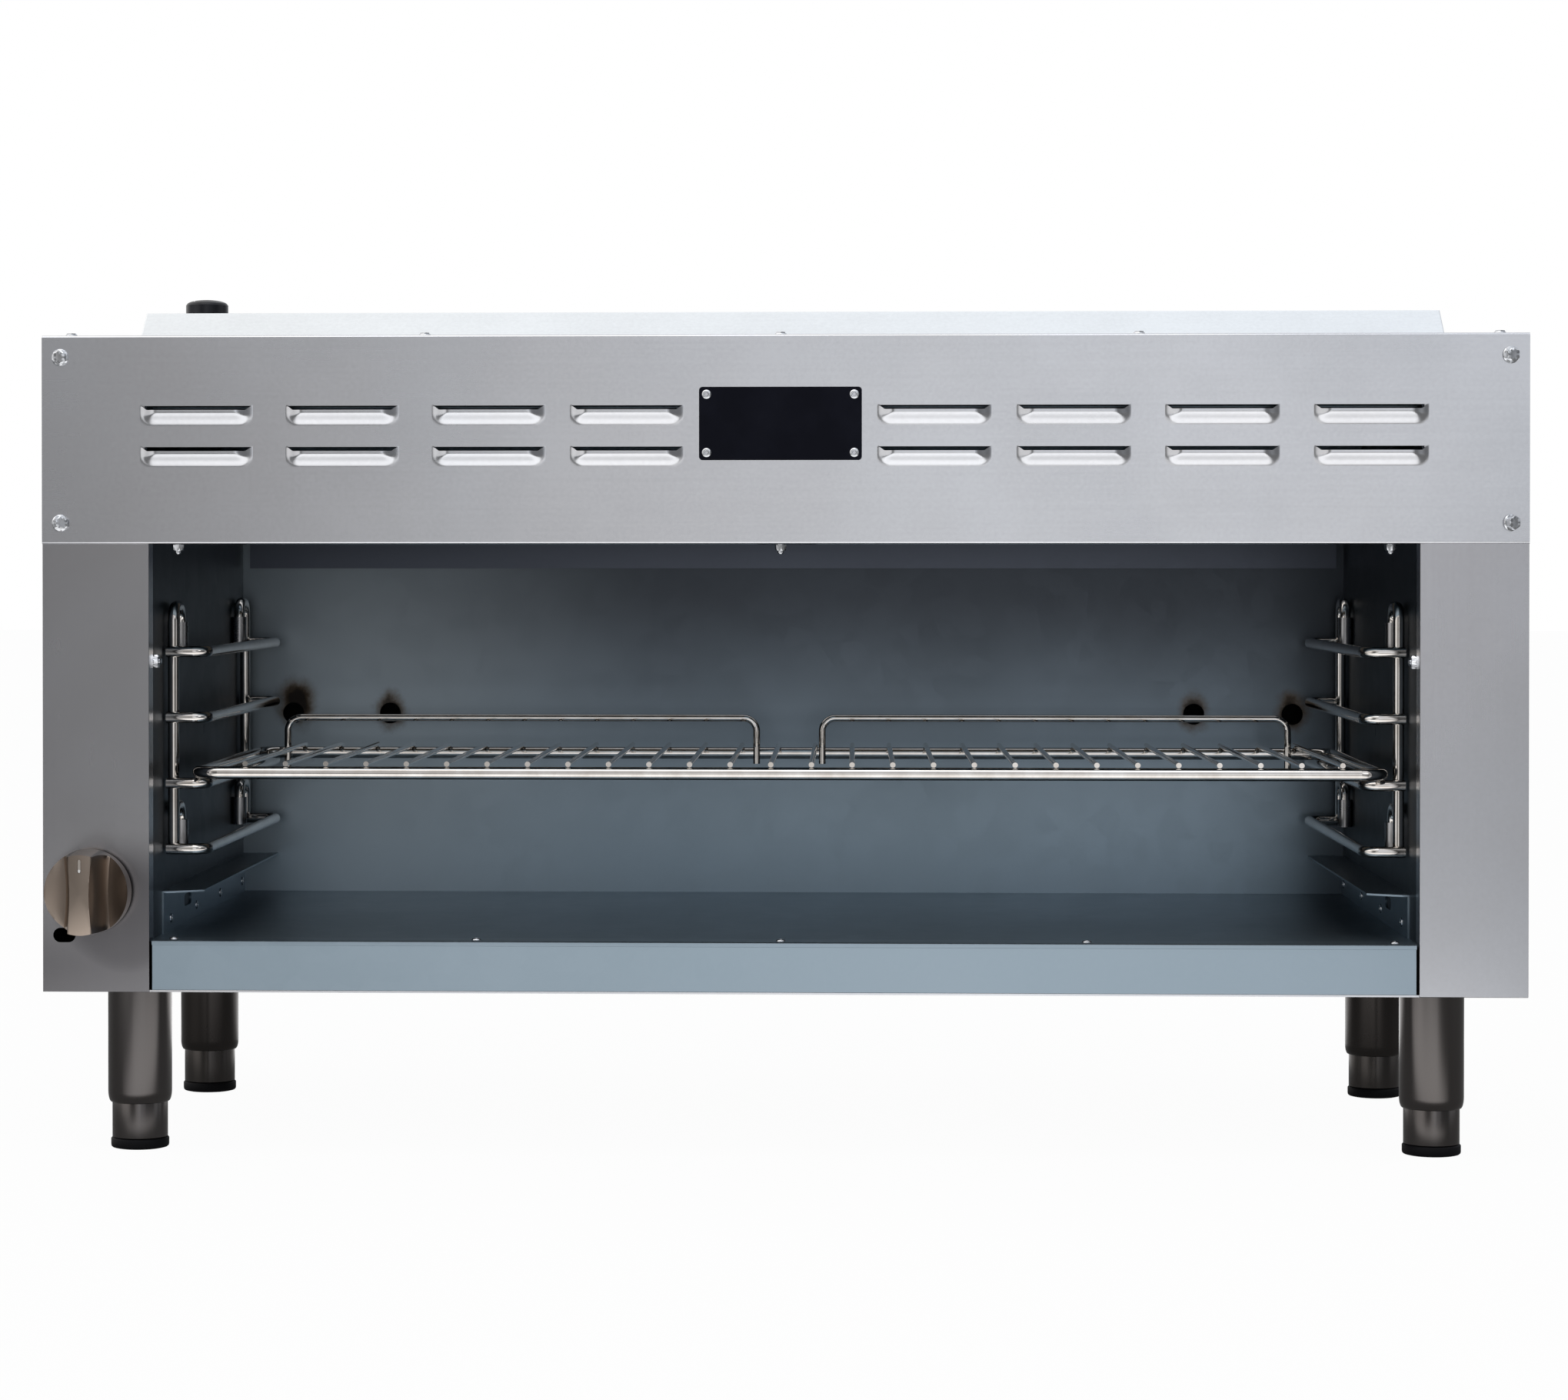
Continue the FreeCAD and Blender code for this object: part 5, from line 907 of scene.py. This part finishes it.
stage = {
    "floorSize": 40.0, "floorColour": (0.84, 0.85, 0.86), "showWhite": 0.965,
    "sheetWide": (0.47, 0.75), "sheetNear": (0.28, 0.40), "sheetFar": (0.90, 1.30), "sheetWhite": 1.5,
    "far": 1.0, "dim": 0.20,
}
studio = {
    "base": 0.16, "left": (-0.23, -0.12), "right": (0.14, 0.26), "window": 0.52, "windowRight": 0.34, "rightBase": 0.34,
    "rightFrom": (0.02, 0.30), "rightTo": (0.42, 0.60), "leftWall": 0.85, "leftFrom": (-0.40, -0.72),
    "ceiling": 0.75, "ceilingFrom": (0.30, 0.85), "strip": 0.30, "stripFrom": (0.35, 0.58), "stripTo": (0.74, 0.92),
    "sides": 0.45, "sidesFrom": (0.90, 0.985), "behind": 0.45, "soft": 0.62,
}


def glare(across, facing):
    # what a sheet mirrors level with it: a window behind the camera, brighter to the right
    window = across.between(*studio["left"]) * (1 - across.between(*studio["right"])) * facing
    level = window * (across.between(-0.16, 0.08) * studio["windowRight"] + studio["window"]) + studio["base"]
    rightWall = across.between(*studio["rightFrom"]) * (1 - across.between(*studio["rightTo"])) * facing
    level = level + rightWall * studio["rightBase"]
    leftWall = (1 - across.between(*reversed(studio["leftFrom"]))) * (1 - (0 - across).between(*studio["sidesFrom"]))
    level = level + leftWall * studio["leftWall"]
    return level + across.maths("ABSOLUTE", 0.0).between(*studio["sidesFrom"]) * studio["sides"]


floorMesh = bpy.data.meshes.new("floor")
half = stage["floorSize"] / 2
floorMesh.from_pydata([(-half, -half, 0), (half, -half, 0), (half, half, 0), (-half, half, 0)], [], [(0, 1, 2, 3)])
floor = bpy.data.objects.new("floor", floorMesh)
scene.collection.objects.link(floor)
floorShader = Shader("paleFloor")
seen = floorShader.add("ShaderNodeLightPath", {}, {}, "Is Camera Ray")
glossy = floorShader.add("ShaderNodeLightPath", {}, {}, "Is Glossy Ray")
through = floorShader.add("ShaderNodeLightPath", {}, {}, "Is Transmission Ray")
px, py = floorShader.axes()[:2]
apart = (px * px + py * py) ** 0.5
facing = 1 - (py / apart).between(-0.6, 0.1)
aside, ahead = px.maths("ABSOLUTE", 0.0), py.maths("ABSOLUTE", 0.0)
sheet = (1 - aside.between(*stage["sheetWide"])) * ahead.between(*stage["sheetNear"])
sheet = sheet * (1 - ahead.between(*stage["sheetFar"])) * stage["sheetWhite"]
far = glare(px / apart, facing) * stage["far"] * ahead.between(*stage["sheetFar"])
strength = (glossy + through) * sheet.high(far).high(stage["dim"]) + seen
plain = floorShader.add("ShaderNodeBsdfDiffuse", {}, {"Color": (*stage["floorColour"], 1)})
glow = floorShader.add("ShaderNodeEmission", {}, {"Color": (1, 1, 1, 1), "Strength": strength})
shown = floorShader.add("ShaderNodeMixShader", {}, {0: seen * stage["showWhite"] + glossy + through, 1: plain, 2: glow})
floorShader.tree.links.new(shown.socket, floorShader.output.inputs[0])
floorMesh.materials.append(floorShader.material)

scene.world = bpy.data.worlds.new("studio")
sky = Shader("studio", scene.world)
dx, dy, dz = sky.axes()
level = glare(dx, (1 - dy.between(-0.6, 0.1)) * (1 - dz.between(0.20, 0.60)))
level = level + dz.between(*studio["ceilingFrom"]) * studio["ceiling"] + dy.between(0.3, 0.9) * studio["behind"]
strip = dz.between(*studio["stripFrom"]) * (1 - dz.between(*studio["stripTo"])) * (1 - dy.between(-0.3, 0.3))
level = level + strip * studio["strip"]
tone = sky.mix(dx.between(-0.25, 0.15), (1.0, 0.985, 0.97), (0.95, 0.98, 1.03))
mirrored = sky.add("ShaderNodeBackground", {}, {"Color": tone, "Strength": level})
even = sky.add("ShaderNodeBackground", {}, {"Color": (0.97, 0.98, 1.0, 1), "Strength": studio["soft"]})
white = sky.add("ShaderNodeBackground", {}, {"Color": (1, 1, 1, 1), "Strength": 1.0})
rays = [sky.add("ShaderNodeLightPath", {}, {}, kind) for kind in ("Is Glossy Ray", "Is Camera Ray")]
lit = sky.add("ShaderNodeMixShader", {}, {0: rays[0], 1: even, 2: mirrored})
lit = sky.add("ShaderNodeMixShader", {}, {0: rays[1], 1: lit, 2: white})
sky.tree.links.new(lit.socket, sky.output.inputs[0])


def softbox(name, place, aim, size, power, colour=(1, 1, 1)):
    lamp = bpy.data.lights.new(name, "AREA")
    lamp.shape = "RECTANGLE"
    lamp.size, lamp.size_y = size
    lamp.energy = power
    lamp.color = colour
    holder = bpy.data.objects.new(name, lamp)
    holder.location = place
    holder.rotation_euler = (Vector(aim) - Vector(place)).to_track_quat("-Z", "Y").to_euler()
    scene.collection.objects.link(holder)


softbox("upperLight", (-0.4, -1.2, 2.8), (0, 0, 0.3), (2.2, 1.2), 14)
softbox("rightLight", (1.6, -2.6, 1.6), (0, 0, 0.3), (0.9, 0.9), 3.5, (0.95, 0.97, 1.0))

# camera

view = {
    "place": (0.0447, -2.7435, 0.3673),
    "yaw": -0.04061, "pitch": 0.01014,
    "focal": 5290.0, "middle": (894.45, 787.55), "frame": (2039, 1820), "sensor": 36.0,
}
turned = Matrix.Rotation(view["pitch"], 3, "X") @ Matrix.Rotation(view["yaw"], 3, "Z")
right, forward, up = turned[0], turned[1], turned[2]
cameraData = bpy.data.cameras.new("camera")
camera = bpy.data.objects.new("camera", cameraData)
scene.collection.objects.link(camera)
pose = Matrix((right, up, -forward)).transposed().to_4x4()
pose.translation = view["place"]
camera.matrix_world = pose
cameraData.sensor_width = view["sensor"]
cameraData.lens = view["focal"] / view["frame"][0] * view["sensor"]
cameraData.shift_x = (view["frame"][0] / 2 - view["middle"][0]) / view["frame"][0]
cameraData.shift_y = -(view["frame"][1] / 2 - view["middle"][1]) / view["frame"][0]
cameraData.clip_start, cameraData.clip_end = 0.05, 60
scene.camera = camera
print("camera and stage")
